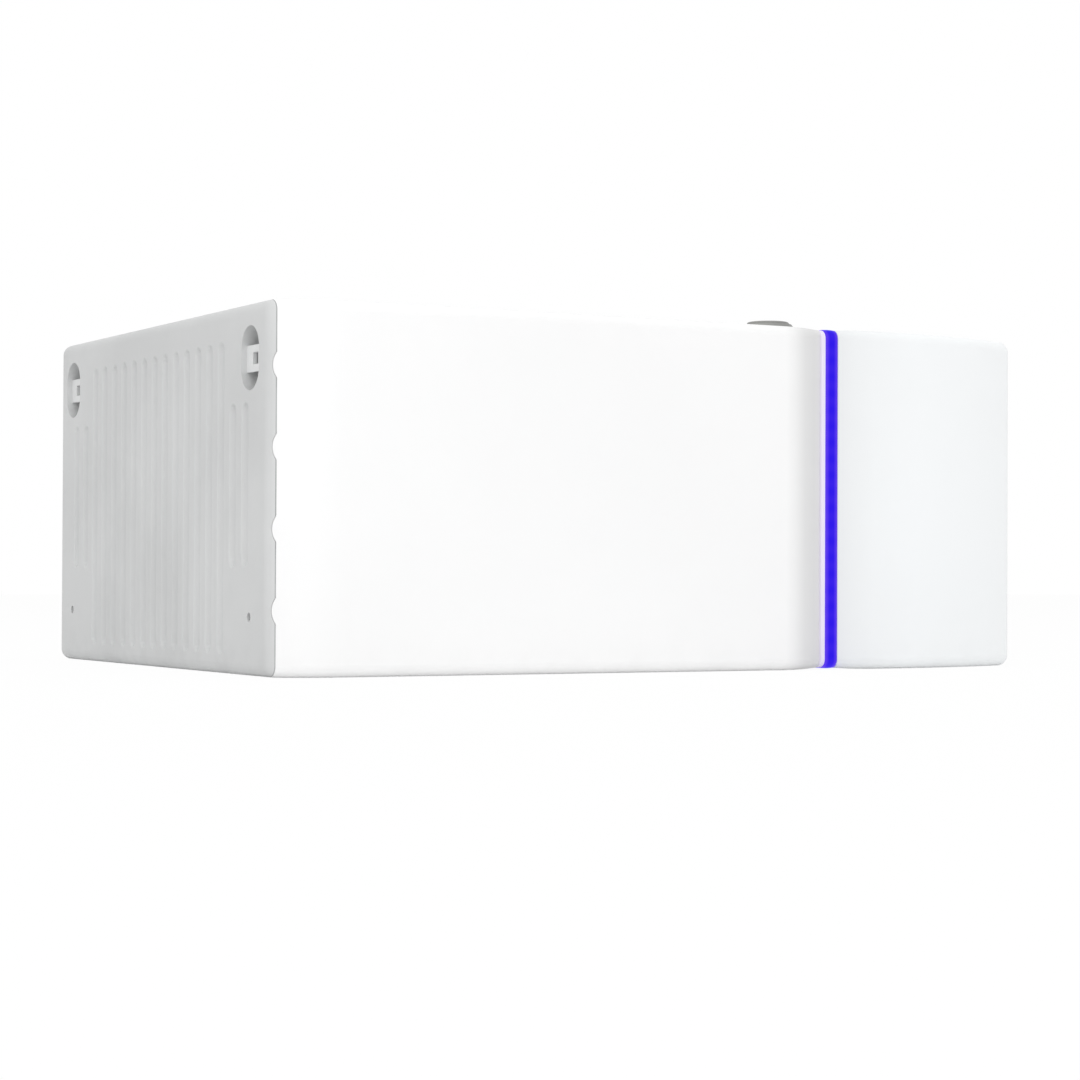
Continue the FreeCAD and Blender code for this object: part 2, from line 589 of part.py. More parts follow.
def rear_heat_sink(outer):
    """The die-cast wall side: ribs, hook pockets, lower fixing holes and the notched rim."""
    flange = slice_across("casting_flange", outer, -1, "SeamDepth - GasketThick")
    spigot = slice_across("casting_spigot", plan_block("spigot_form", "ShellWall", "SpigotGap"), 0, "CastingPlate")
    plate = join("casting_plate", [flange, spigot])
    side = f"{HALF_WIDTH} - FixingSide"
    pocket_rise = "UnitHeight - PocketDrop"
    cups = [
        obround(f"cup_{hand}", f"{sign}({side})", pocket_rise, "PocketWide + 2 * CupWall",
                "PocketTall + 2 * CupWall", "CastingPlate - 1", "PocketDeep + CupWall")
        for hand, sign in (("right", ""), ("left", "-"))
    ]
    bosses = [
        rod(f"foot_boss_{hand}", "depth", "FootBossRadius",
            (f"{sign}({side})", "CastingPlate - 1", "FootHoleRise"), "FootHoleDeep + 3 - CastingPlate")
        for hand, sign in (("right", ""), ("left", "-"))
    ]
    pads = [
        rod(f"casting_pad_{index}", "depth", "PadRadius", (x, "CastingPlate - 1", z), "PadDepth - CastingPlate + 1")
        for index, (x, z) in enumerate(casting_screw_places())
    ]
    grooves = []
    total = count("GrooveCount")
    short = count("ShortGrooves")
    for index in range(total):
        is_long = short <= index < total - short
        foot, top = ("LongFoot", "LongTop") if is_long else ("ShortFoot", "ShortTop")
        grooves.append(groove(f"groove_{index}", f"({index} - {total - 1} / 2) * GroovePitch", foot, top))
    fluted = cut("casting_fluted", plate, grooves)
    doc.recompute()
    wall_y = value("UnitLength") / 2
    flat_half = corner_centre("Rear")[0]
    lips = [
        index
        for index, edge in enumerate(fluted.Shape.Edges, start=1)
        if all(abs(vertex.Y - wall_y) < 1e-4 and abs(vertex.X) < flat_half - 0.1 for vertex in edge.Vertexes)
        and edge.BoundBox.XLength < value("GroovePitch")
    ]
    softened = doc.addObject("Part::Fillet", "casting_softened")
    softened.Base = fluted
    softened.Edges = [(index, value("GrooveSoft"), value("GrooveSoft")) for index in lips]
    solid = join("casting_solid", [softened, *cups, *bosses, *pads])
    openings = []
    for hand, sign in (("right", ""), ("left", "-")):
        openings.append(
            obround(f"pocket_{hand}", f"{sign}({side})", pocket_rise, "PocketWide", "PocketTall", -1, "PocketDeep")
        )
        openings.append(
            rod(f"foot_hole_{hand}", "depth", "FootHoleRadius", (f"{sign}({side})", -1, "FootHoleRise"),
                "FootHoleDeep + 1")
        )
    openings += [
        rod(f"casting_hole_{index}", "depth", "ScrewShank", (x, "PadDepth - PadHole", z), "PadHole + 1")
        for index, (x, z) in enumerate(casting_screw_places())
    ]
    openings += tongue_tools("notch", 0)
    return cut("rear_heat_sink", solid, openings)


def hook_plate(hand, sign):
    """The plate across a hook pocket, with its square hole."""
    x = f"{sign}({HALF_WIDTH} - FixingSide)"
    foot = "UnitHeight - PocketDrop - HookPlateTall / 2"
    depth = "HookPlateDepth + HookPlateThick / 2"
    plate = centred(f"hook_blank_{hand}", x, depth, foot, "PocketWide", "HookPlateThick", "HookPlateTall")
    hole_foot = "UnitHeight - PocketDrop - HookHoleTall / 2"
    hole = centred(f"hook_hole_{hand}", x, depth, hole_foot, "HookHoleWide", "HookPlateThick + 2", "HookHoleTall")
    inside = obround(f"hook_trim_{hand}", x, "UnitHeight - PocketDrop", "PocketWide", "PocketTall", 0, "PocketDeep")
    return cut(f"hook_plate_{hand}", meet(f"hook_shape_{hand}", [plate, inside]), [hole])


def wrap_shell(outer, inner):
    """The smooth shell: side walls, top and underside in one, with tongues, screw bosses and a rolled front."""
    long_part = slice_across("shell_long", outer, "SeamDepth", "RollStart")
    steps = count("RollSteps")
    falls = [
        (f"RollSide * {index * index / steps ** 2}", f"RollTop * {index * index / steps ** 2}",
         f"RollStart + (RollEnd - RollStart) * {index / steps}")
        for index in range(steps + 1)
    ]
    rolled = swell("shell_roll", falls)
    reach = slice_across("tongue_reach", outer, "SeamDepth - TongueReach - 1", "SeamDepth")
    tongues = meet("tongues", [reach, join("tongue_discs", tongue_tools("tongue", "TongueGap"))])
    tube = cut(
        "shell_tube",
        join("shell_solid", [long_part, rolled, tongues]),
        [inner, section_slab("lip_hole", "ShellWall + LipDeep", "LipStart - 5", "RollEnd + 1")],
    )
    bosses = []
    pilots = []
    for index, (x, z) in enumerate(casting_screw_places()):
        low, high = ("ShellWall - 1", "BossTall") if z == "BossScrewRise" else (
            "UnitHeight - BossTall", "UnitHeight - ShellWall + 1")
        bosses.append(
            block(f"shell_boss_{index}", (f"{x} - BossWide / 2", f"{x} + BossWide / 2"),
                  ("PadDepth", "PadDepth + BossDeep"), (low, high))
        )
        pilots.append(rod(f"shell_pilot_{index}", "depth", "ScrewClear", (x, "PadDepth - 1", z), "BossDeep + 2"))
    button_x, button_depth = button_place()
    button_sink = rod("button_sink", "z", "BezelFlange + BarrelGap",
                      (button_x, button_depth, "UnitHeight - BezelSink"), 5)
    button_hole = rod("button_hole", "z", "BezelBarrel + BarrelGap",
                      (button_x, button_depth, "UnitHeight - ShellWall - 5"), "ShellWall + 10")
    bay_mouth = bay_block("bay_mouth", "BayWall + BayGap", f"{HALF_WIDTH} - ShellWall - 2", f"{HALF_WIDTH} + 2")
    return cut("wrap_shell", join("shell_bossed", [tube, *bosses]), [*pilots, button_sink, button_hole, bay_mouth])


def ring(name, outer_inset, inner_inset, start, end):
    """A band that follows the casing's cross-section, between two insets and two depths."""
    core = section_slab(name + "_core", inner_inset, f"({start}) - 1", f"({end}) + 1")
    return cut(name, section_slab(name + "_blank", outer_inset, start, end), [core])


def rear_gasket(outer, inner):
    """The seal between the casting's rim and the shell, in lengths that end at the tongues."""
    blank = slice_across("gasket_blank", outer, "SeamDepth - GasketThick", "SeamDepth")
    return cut("rear_gasket", blank, [inner, *tongue_tools("gasket_notch", 0)])


def casting_screws():
    """The eight screws that hold the shell's bosses to the casting, driven from inside the shell."""
    head_depth = "PadDepth + BossDeep"
    screws = []
    for index, (x, z) in enumerate(casting_screw_places()):
        head = rod(f"casting_screw_{index}_head", "depth", "ScrewHead", (x, head_depth, z), "ScrewHeadTall")
        stem = rod(f"casting_screw_{index}_stem", "depth", "ScrewShank", (x, "PadDepth - PadThread", z),
                   "BossDeep + PadThread")
        screws.append(join(f"casting_screw_{index}", [head, stem]))
    return group("casting_screws", screws)


def post_places():
    """The front cap's four screw posts: x and height."""
    side = f"({HALF_WIDTH} - PostSide)"
    return [(f"{sign}{side}", z) for z in ("PostRise", "UnitHeight - PostRise") for sign in ("", "-")]


def mid_frame():
    """The frame between shell and front cap: a plate with a pale rim, a hub and cable windows."""
    plate = section_slab("frame_plate", "RimInset", "RollEnd", "LightStart")
    hub = ring("frame_hub", "HubInset", "HubInset + HubWall", "LightStart - 1", "LightStart + LightWide + HubNose")
    windows = [
        block(f"frame_window_{index}", ("-WindowWide / 2", "WindowWide / 2"), ("RollEnd - 1", "LightStart + 1"),
              (low, f"({low}) + WindowTall"))
        for index, low in enumerate(("WindowRise", "UnitHeight - WindowRise - WindowTall"))
    ]
    holes = [
        rod(f"frame_hole_{index}", "depth", "ScrewClear", (x, "RollEnd - 1", z), "LightStart - RollEnd + 2")
        for index, (x, z) in enumerate(post_places())
    ]
    return cut("mid_frame", join("frame_solid", [plate, hub]), [*windows, *holes])


def light_ring():
    """The light guide that runs right round the casing."""
    return ring("light_ring", "LightInset", "LightInset + LightDeep", "LightStart", "LightStart + LightWide")


def led_strips():
    """Four light boards on the hub's outer faces."""
    low, high = "HubInset - LedBoard", "HubInset"
    depth = ("LightStart + 1", "LightStart + LightWide - 1")
    run = f"{HALF_WIDTH} - HubInset - 4"
    climb = ("HubInset + 4", "UnitHeight - HubInset - 4")
    return group("led_strips", [
        block("led_foot", (f"-({run})", run), depth, (low, high)),
        block("led_top", (f"-({run})", run), depth, (f"UnitHeight - ({high})", f"UnitHeight - ({low})")),
        block("led_left", (f"-{HALF_WIDTH} + {low}", f"-{HALF_WIDTH} + {high}"), depth, climb),
        block("led_right", (f"{HALF_WIDTH} - {high}", f"{HALF_WIDTH} - ({low})"), depth, climb),
    ])


CAP_START = "LightStart + LightWide + GasketThick"


def front_gasket():
    """The seal between the light ring and the front cap."""
    return ring("front_gasket", "CapSide + 0.6", "HubInset - HubGap", "LightStart + LightWide", CAP_START)


def front_cap(outer):
    """The front end: a smooth cap with an inner flange and four screw posts."""
    steps = count("RollSteps")
    rises = [
        (f"CapSide * {(1 - index / steps) ** 2}", f"CapTop * {(1 - index / steps) ** 2}",
         f"{CAP_START} + CapRise * {index / steps}")
        for index in range(steps + 1)
    ]
    nose = slice_across("cap_nose", outer, f"{CAP_START} + CapRise", "UnitLength + 1")
    solid = join("cap_solid", [swell("cap_swell", rises), nose])
    inside = slice_across("cap_inside", plan_block("cap_form", "CapSide", "ShellWall"), f"{CAP_START} + ShellWall",
                          "UnitLength")
    mouth = section_slab("cap_mouth", "HubInset - HubGap", f"{CAP_START} - 1", f"{CAP_START} + ShellWall + 1")
    shell = cut("cap_shell", solid, [inside, mouth])
    posts = [
        rod(f"cap_post_{index}", "depth", "PostRadius", (x, "LightStart", z), "UnitLength - PostEnd - LightStart")
        for index, (x, z) in enumerate(post_places())
    ]
    pilots = [
        rod(f"cap_pilot_{index}", "depth", "ScrewShank", (x, "LightStart - 1", z), "ScrewGrip + 3")
        for index, (x, z) in enumerate(post_places())
    ]
    return cut("front_cap", join("cap_posted", [shell, *posts]), pilots)


def front_cap_screws():
    """The four screws that hold the front cap to the mid frame."""
    return group("front_cap_screws", [
        screw(f"cap_screw_{index}", "depth", x, "RollEnd", z, "LightStart - RollEnd + ScrewGrip")
        for index, (x, z) in enumerate(post_places())
    ])


def button_place():
    """The power button's x and depth."""
    return f"-({HALF_WIDTH} - ButtonSide)", "ButtonDepth"


def button_rod(name, radius, foot, top):
    """A cylinder on the button's axis, between two heights over the top face."""
    x, depth = button_place()
    return rod(name, "z", radius, (x, depth, f"UnitHeight + ({foot})"), f"({top}) - ({foot})")


def button_bezel():
    """The bezel ring and its barrel through the shell."""
    x, depth = button_place()
    crown = doc.addObject("Part::Cone", "bezel_crown")
    crown.setExpression("Radius1", bound("BezelFlange"))
    crown.setExpression("Radius2", bound("BezelLip"))
    crown.setExpression("Height", bound("BezelRise"))
    place(crown, x, depth, "UnitHeight")
    flange = button_rod("bezel_flange", "BezelFlange", "-BezelSink", "0")
    barrel = button_rod("bezel_barrel", "BezelBarrel", "-BezelDrop", "0")
    bore = button_rod("bezel_bore", "BezelBore", "-BezelDrop - 1", "BezelRise + 1")
    relief = button_rod("bezel_relief", "BezelRelief", "-BezelDrop - 1", "-BezelShoulder")
    return cut("button_bezel", join("bezel_solid", [crown, flange, barrel]), [bore, relief])


def button_cap():
    """The button itself: a rounded cap with a keeping lip, a hollow skirt and a stem."""
    radius = "BezelBore - CapFit"
    skirt_foot = "-BezelShoulder - ButtonLipTall"
    crown = button_rod("cap_crown", radius, skirt_foot, "ButtonRise")
    doc.recompute()
    top_edge = max(range(len(crown.Shape.Edges)), key=lambda index: crown.Shape.Edges[index].BoundBox.ZMin) + 1
    rounded = doc.addObject("Part::Fillet", "cap_rounded")
    rounded.Base = crown
    rounded.Edges = [(top_edge, value("ButtonRound"), value("ButtonRound"))]
    lip = button_rod("cap_lip", "ButtonLip", skirt_foot, "-BezelShoulder")
    inside = button_rod("cap_inside_bore", f"{radius} - ButtonSkirt", f"{skirt_foot} - 1", "ButtonRise - ButtonRoof")
    hollowed = cut("cap_hollowed", join("cap_lipped", [rounded, lip]), [inside])
    stem_foot = "-BezelDrop + SwitchTall + ButtonTravel + SwitchGap"
    stem = button_rod("cap_stem", "ButtonStem", stem_foot, "ButtonRise - ButtonRoof + 1")
    return join("button_cap", [hollowed, stem])


def button_nut():
    """The nut that clamps the bezel under the shell."""
    ring_out = button_rod("nut_blank", "NutRadius", "-ShellWall - NutTall", "-ShellWall")
    ring_in = button_rod("nut_bore", "BezelBarrel", "-ShellWall - NutTall - 1", "-ShellWall + 1")
    return cut("button_nut", ring_out, [ring_in])


def button_spring():
    """The coil spring between the button's board and its roof."""
    x, depth = button_place()
    helix = doc.addObject("Part::Helix", "spring_path")
    helix.setExpression("Height", bound("BezelDrop + ButtonRise - ButtonRoof - 2 * SpringWire - 0.1"))
    helix.setExpression("Pitch", bound("(BezelDrop + ButtonRise - ButtonRoof - 2 * SpringWire - 0.1) / SpringTurns"))
    helix.setExpression("Radius", bound("SpringRadius"))
    wire = doc.addObject("Part::Circle", "spring_wire")
    wire.setExpression("Radius", bound("SpringWire"))
    wire.Placement = FreeCAD.Placement(Vector(value("SpringRadius"), 0, 0), TURNS["depth"])
    sweep = doc.addObject("Part::Sweep", "button_spring")
    sweep.Sections = [wire]
    sweep.Spine = (helix, [])
    sweep.Solid = True
    sweep.Frenet = True
    place(sweep, x, depth, "UnitHeight - BezelDrop + SpringWire + 0.05")
    return sweep


def button_switch():
    """The tact switch under the button's stem."""
    x, depth = button_place()
    return centred("button_switch", x, depth, "UnitHeight - BezelDrop", "SwitchWide", "SwitchWide", "SwitchTall")


def button_board():
    """The small board that closes the bezel's barrel."""
    return button_rod("button_board", "BezelBarrel", "-BezelDrop - ButtonBoard", "-BezelDrop")


CELL_GAPS = "(CellColumns - 1) * CellGap"
CELL_THICK = f"((UnitWidth - 2 * (ShellWall + PackMargin + EndPlate) - {CELL_GAPS}) / CellColumns)"
CELL_TALL = "(UnitHeight - PackRoom)"
PACK_WIDE = f"(CellColumns * {CELL_THICK} + {CELL_GAPS})"
PACK_DEEP = "(CellRows * CellDeep + (CellRows - 1) * RowGap)"
PACK_FOOT = "(ShellWall + TraySheet)"
PACK_END = f"(PackStart + {PACK_DEEP})"
PLATE_TOP = f"({PACK_FOOT} + {CELL_TALL} + PackSpace)"
SHELF_TOP = f"({PLATE_TOP} + TraySheet)"
TERMINAL_TOP = f"({PACK_FOOT} + {CELL_TALL} + TerminalTall)"


def cell_place(column, row_index):
    """A cell's centre x and the depth of its rear end."""
    x = f"({column} - (CellColumns - 1) / 2) * ({CELL_THICK} + CellGap)"
    return x, f"PackStart + {row_index} * (CellDeep + RowGap)"


def cell(number, column, row_index):
    """One prismatic cell: case, two terminals and its sunk vent."""
    x, start = cell_place(column, row_index)
    middle = f"{start} + CellDeep / 2"
    name = f"cell_{number:02d}"
    case = centred(name + "_case", x, middle, PACK_FOOT, CELL_THICK, "CellDeep", CELL_TALL)
    top = f"{PACK_FOOT} + {CELL_TALL}"
    terminals = [
        rod(f"{name}_terminal_{end}", "z", "TerminalRadius", (x, depth, f"{top} - 1"), "TerminalTall + 1")
        for end, depth in (("rear", f"{start} + TerminalIn"), ("front", f"{start} + CellDeep - TerminalIn"))
    ]
    vent = rod(name + "_vent", "z", "VentRadius", (x, middle, f"{top} - VentSink"), 5)
    return cut(name, join(name + "_body", [case, *terminals]), [vent])


def cell_tray():
    """The sheet tray that the pack stands on, with a lip at each end."""
    half = f"({PACK_WIDE} / 2 + TrayMargin)"
    floor = block("tray_floor", (f"-{half}", half), ("PackStart - TraySheet", f"{PACK_END} + TraySheet"),
                  ("ShellWall", PACK_FOOT))
    lips = [
        block(f"tray_lip_{end}", (f"-{half}", half), (start, f"{start} + TraySheet"),
              ("ShellWall", f"{PACK_FOOT} + TrayLip"))
        for end, start in (("rear", "PackStart - TraySheet"), ("front", PACK_END))
    ]
    return join("cell_tray", [floor, *lips])


ROD_DEPTHS = (f"(PackStart + {PACK_DEEP} / 4)", f"(PackStart + 3 * {PACK_DEEP} / 4)")
ROD_RISE = f"({PLATE_TOP} - RodRadius - 4)"


def end_plate(hand, sign):
    """The plate at one side of the pack, which also carries the shelf."""
    inner, outer = f"{PACK_WIDE} / 2", f"({PACK_WIDE} / 2 + EndPlate)"
    across = (inner, outer) if hand == "right" else (f"-{outer}", f"-({inner})")
    blank = block(f"end_plate_{hand}_blank", across, ("PackStart", PACK_END), (PACK_FOOT, PLATE_TOP))
    holes = [
        rod(f"end_plate_{hand}_hole_{index}", "x", "RodRadius + RodClear", (f"{across[0]} - 1", depth, ROD_RISE),
            "EndPlate + 2")
        for index, depth in enumerate(ROD_DEPTHS)
    ]
    return cut(f"end_plate_{hand}", blank, holes)


def tie_rods():
    """Two rods with nuts that squeeze the pack between its end plates."""
    half = f"({PACK_WIDE} / 2 + EndPlate)"
    rods = []
    for index, depth in enumerate(ROD_DEPTHS):
        shaft = rod(f"tie_shaft_{index}", "x", "RodRadius", (f"-{half} - RodNutThick", depth, ROD_RISE),
                    f"2 * {half} + 2 * RodNutThick")
        nuts = [
            rod(f"tie_nut_{index}_{end}", "x", "RodNut", (start, depth, ROD_RISE), "RodNutThick")
            for end, start in (("left", f"-{half} - RodNutThick"), ("right", half))
        ]
        rods.append(join(f"tie_rod_{index}", [shaft, *nuts]))
    return group("tie_rods", rods)


def busbars():
    """The bars that join the sixteen cells in series."""
    bars = []
    pitch = f"({CELL_THICK} + CellGap)"
    rises = (TERMINAL_TOP, f"{TERMINAL_TOP} + BarThick")
    for row_index in range(count("CellRows")):
        for column in range(count("CellColumns") - 1):
            x, start = cell_place(column, row_index)
            at_rear = (column + row_index) % 2 == 0
            depth = f"({start} + TerminalIn)" if at_rear else f"({start} + CellDeep - TerminalIn)"
            bars.append(
                block(f"bar_{row_index}_{column}", (f"{x} - BarOver", f"{x} + {pitch} + BarOver"),
                      (f"{depth} - BarWide / 2", f"{depth} + BarWide / 2"), rises)
            )
    x, start = cell_place(count("CellColumns") - 1, 0)
    bars.append(
        block("bar_between_rows", (f"{x} - BarWide / 2", f"{x} + BarWide / 2"),
              (f"{start} + CellDeep - TerminalIn - BarOver", f"{start} + CellDeep + RowGap + TerminalIn + BarOver"),
              rises)
    )
    return group("busbars", bars)


def equipment_shelf():
    """The sheet shelf over the pack, carried by the end plates."""
    half = f"({PACK_WIDE} / 2 + EndPlate)"
    return block("equipment_shelf", (f"-{half}", half), ("PackStart", PACK_END), (PLATE_TOP, SHELF_TOP))


def bms_board():
    """The battery management board over the shelf."""
    return centred("bms_board", "-BmsSide", "BmsDepth", f"{SHELF_TOP} + BmsLift", "BmsWide", "BmsDeep", "BoardThick")


def board_standoffs():
    """The standoffs of all three boards: on the casting, on the shelf and on the mid frame."""
    posts = []
    for corner, (sign_x, sign_y) in enumerate(((1, 1), (1, -1), (-1, 1), (-1, -1))):
        across = f"{sign_x} * (PowerWide / 2 - BoardInset)"
        up = f"PowerFoot + PowerTall / 2 + {sign_y} * (PowerTall / 2 - BoardInset)"
        posts.append(rod(f"power_post_{corner}", "depth", "StandoffRadius", (across, "CastingPlate", up), "PowerLift"))
        across = f"-BmsSide + {sign_x} * (BmsWide / 2 - BoardInset)"
        depth = f"BmsDepth + {sign_y} * (BmsDeep / 2 - BoardInset)"
        posts.append(rod(f"bms_post_{corner}", "z", "StandoffRadius", (across, depth, SHELF_TOP), "BmsLift"))
        across = f"{sign_x} * (ControlWide / 2 - BoardInset)"
        up = f"{HALF_HEIGHT} + {sign_y} * (ControlTall / 2 - BoardInset)"
        posts.append(rod(f"control_post_{corner}", "depth", "StandoffRadius", (across, "LightStart", up), "ControlLift"))
    return group("board_standoffs", posts)


def contactor():
    """The main contactor with its two power terminals."""
    case = centred("contactor_case", "ContactorSide", "ContactorDepth", SHELF_TOP, "ContactorWide", "ContactorWide",
                   "ContactorTall")
    posts = [
        rod(f"contactor_post_{end}", "z", "ContactorPost",
            (f"ContactorSide {sign} ContactorWide / 4", "ContactorDepth", f"{SHELF_TOP} + ContactorTall - 1"),
            "ContactorPostTall + 1")
        for end, sign in (("left", "-"), ("right", "+"))
    ]
    return join("contactor", [case, *posts])


def main_fuse():
    """The main fuse cartridge."""
    return rod("main_fuse", "x", "FuseRadius", ("-FuseSide - FuseLong / 2", "FuseDepth", f"{SHELF_TOP} + FuseLift"),
               "FuseLong")


def fuse_holders():
    """The two blocks that hold the fuse's ends."""
    holders = []
    for end, sign in (("left", "-"), ("right", "+")):
        x = f"-FuseSide {sign} (FuseLong / 2 - FuseHolder / 4)"
        blank = centred(f"fuse_block_{end}", x, "FuseDepth", SHELF_TOP, "FuseHolder", "3 * FuseRadius", "FuseLift")
        seat = rod(f"fuse_seat_{end}", "x", "FuseRadius",
                   ("-FuseSide - FuseLong", "FuseDepth", f"{SHELF_TOP} + FuseLift"), "2 * FuseLong")
        holders.append(cut(f"fuse_holder_{end}", blank, [seat]))
    return group("fuse_holders", holders)


def transformer_core():
    """The transformer's laminated core, with two windows for the coil."""
    blank = centred("core_blank", "CoreSide", "CoreDepth", SHELF_TOP, "CoreWide", "CoreDeep", "CoreTall")
    windows = [
        centred(f"core_window_{end}", f"CoreSide {sign} CoreWide / 4", "CoreDepth", f"{SHELF_TOP} + CoreLimb",
                "CoreWide / 2 - 2 * CoreLimb", "CoreDeep + 2", "CoreTall - 2 * CoreLimb")
        for end, sign in (("left", "-"), ("right", "+"))
    ]
    return cut("transformer_core", blank, windows)


def transformer_coil():
    """The winding round the core's middle limb."""
    foot = f"{SHELF_TOP} + CoreLimb + 0.5"
    tall = "CoreTall - 2 * CoreLimb - 1"
    blank = centred("coil_blank", "CoreSide", "CoreDepth", foot, "CoreWide - 2 * CoreLimb", "CoreDeep + 2 * CoilProud",
                    tall)
    limb = centred("coil_bore", "CoreSide", "CoreDepth", f"{foot} - 1", "2 * CoreLimb", "CoreDeep", f"{tall} + 2")
    return cut("transformer_coil", blank, [limb])


BOARD_FACE = "(CastingPlate + PowerLift + BoardThick)"


def power_board():
    """The power board, upright in front of the casting."""
    return block("power_board", ("-PowerWide / 2", "PowerWide / 2"), ("CastingPlate + PowerLift", BOARD_FACE),
                 ("PowerFoot", "PowerFoot + PowerTall"))


def module_x(index):
    """A power module's x."""
    return f"({index} - (ModuleCount - 1) / 2) * ModulePitch"


def power_modules():
    """The power modules, between the board and the casting that cools them."""
    foot = "PowerFoot + ModuleRise"
    return group("power_modules", [
        block(f"power_module_{index}", (f"{module_x(index)} - ModuleWide / 2", f"{module_x(index)} + ModuleWide / 2"),
              ("CastingPlate", "CastingPlate + PowerLift"), (foot, f"{foot} + ModuleTall"))
        for index in range(count("ModuleCount"))
    ])


def link_capacitors():
    """The link capacitors on the power board."""
    return group("link_capacitors", [
        rod(f"link_capacitor_{index}", "depth", "CapacitorRadius",
            (module_x(index), BOARD_FACE, "PowerFoot + CapacitorRise"), "CapacitorLong")
        for index in range(count("ModuleCount"))
    ])


def line_choke():
    """The ring choke on the power board."""
    rise = "PowerFoot + ChokeRise"
    blank = rod("choke_blank", "depth", "ChokeRadius", (0, BOARD_FACE, rise), "ChokeThick")
    bore = rod("choke_hole", "depth", "ChokeBore", (0, f"{BOARD_FACE} - 1", rise), "ChokeThick + 2")
    return cut("line_choke", blank, [bore])


BAY_FLOOR = f"({HALF_WIDTH} - BaySink)"


BAY_RISE = "(UnitHeight - BayDrop)"


def bay_block(name, margin, start, end):
    """A box on the bay's outline, grown by a margin, between two x formulas."""
    return block(
        name,
        (start, end),
        (f"BayDepth - BayLong / 2 - ({margin})", f"BayDepth + BayLong / 2 + ({margin})"),
        (f"{BAY_RISE} - BayTall / 2 - ({margin})", f"{BAY_RISE} + BayTall / 2 + ({margin})"),
    )


def connector_bay():
    """The recess for the connections in the side, with a flange behind the shell's wall."""
    inner_wall = f"{HALF_WIDTH} - ShellWall"
    outer = bay_block("bay_outer", "BayWall", f"{BAY_FLOOR} - BayWall", f"{HALF_WIDTH} - BayFlush")
    flange = bay_block("bay_flange", "BayWall + BayFlange", f"{inner_wall} - BayWall", inner_wall)
    inside = bay_block("bay_inside", 0, BAY_FLOOR, f"{HALF_WIDTH} + 1")
    shaft = bay_rod("bay_shaft_hole", "KnobShaft + ShaftFit", knob_place(), "-BayWall - 1", "1")
    return cut("connector_bay", join("bay_solid", [outer, flange]), [inside, shaft])


def bay_rod(name, radius, where, start, end):
    """A cylinder across the bay at (depth, height), between two distances out of the bay's floor."""
    depth, rise = where
    return rod(name, "x", radius, (f"{BAY_FLOOR} + ({start})", depth, rise), f"({end}) - ({start})")


def power_socket(hand, sign):
    """One power socket: a shroud with a contact pin in it."""
    where = (f"BayDepth - SocketSide {sign} SocketPitch / 2", f"{BAY_RISE} + SocketRise")
    shroud = bay_rod(f"socket_shroud_{hand}", "SocketRadius", where, "0", "SocketTall")
    bore = bay_rod(f"socket_bore_{hand}", "SocketBore", where, "ShellWall", "SocketTall + 1")
    pin = bay_rod(f"socket_pin_{hand}", "SocketPin", where, "ShellWall - 1", "SocketPinTall")
    return join(f"power_socket_{hand}", [cut(f"socket_cup_{hand}", shroud, [bore]), pin])


def service_place(step):
    """A small fitting's place along the lower row of the bay."""
    return (f"BayDepth - SocketSide + {step} * SocketPitch / 2", f"{BAY_RISE} - ServiceRise")


def data_socket():
    """The data socket: a square shroud open to the side."""
    depth, rise = service_place(-1)
    outer = block("data_outer", (BAY_FLOOR, f"{BAY_FLOOR} + DataProud"),
                  (f"{depth} - DataWide / 2", f"{depth} + DataWide / 2"), (f"{rise} - DataTall / 2", f"{rise} + DataTall / 2"))
    inner = block("data_inner", (f"{BAY_FLOOR} + DataWall", f"{BAY_FLOOR} + DataProud + 1"),
                  (f"{depth} - DataWide / 2 + DataWall", f"{depth} + DataWide / 2 - DataWall"),
                  (f"{rise} - DataTall / 2 + DataWall", f"{rise} + DataTall / 2 - DataWall"))
    return cut("data_socket", outer, [inner])


def earth_stud():
    """The earth stud with its nut."""
    where = service_place(1)
    stud = bay_rod("stud_shank", "StudRadius", where, "0", "StudLong")
    nut = bay_rod("stud_nut", "StudNut", where, "0", "StudNutTall")
    return join("earth_stud", [stud, nut])


def vent_plug():
    """The pressure vent in the bay's floor."""
    return bay_rod("vent_plug", "VentPlugRadius", service_place(3), "0", "VentPlugTall")


def knob_place():
    """The isolator knob's depth and height."""
    return ("BayDepth + KnobSide", BAY_RISE)


def isolator_knob():
    """The isolator's knob: a disc with a grip rib, on a shaft through the bay's floor."""
    depth, rise = knob_place()
    disc = bay_rod("knob_disc", "KnobRadius", (depth, rise), "KnobGap", "KnobTall")
    rib = block("knob_rib", (f"{BAY_FLOOR} + KnobTall - 1", f"{BAY_FLOOR} + KnobTall + KnobRibTall"),
                (f"{depth} - KnobRib / 2", f"{depth} + KnobRib / 2"),
                (f"{rise} - KnobRadius * 0.9", f"{rise} + KnobRadius * 0.9"))
    shaft = bay_rod("knob_shaft", "KnobShaft", (depth, rise), "-ShaftLong", "KnobTall")
    return join("isolator_knob", [disc, rib, shaft])


def isolator_body():
    """The isolator's switch body behind the bay's floor, with the bore that carries the shaft."""
    depth, rise = knob_place()
    case = block("isolator_case", (f"{BAY_FLOOR} - BayWall - IsolatorDeep", f"{BAY_FLOOR} - BayWall"),
                 (f"{depth} - IsolatorWide / 2", f"{depth} + IsolatorWide / 2"),
                 (f"{rise} - IsolatorWide / 2", f"{rise} + IsolatorWide / 2"))
    bore = bay_rod("isolator_bore", "KnobShaft + ShaftFit", (depth, rise), "-ShaftLong - 0.5", "0")
    return cut("isolator_body", case, [bore])


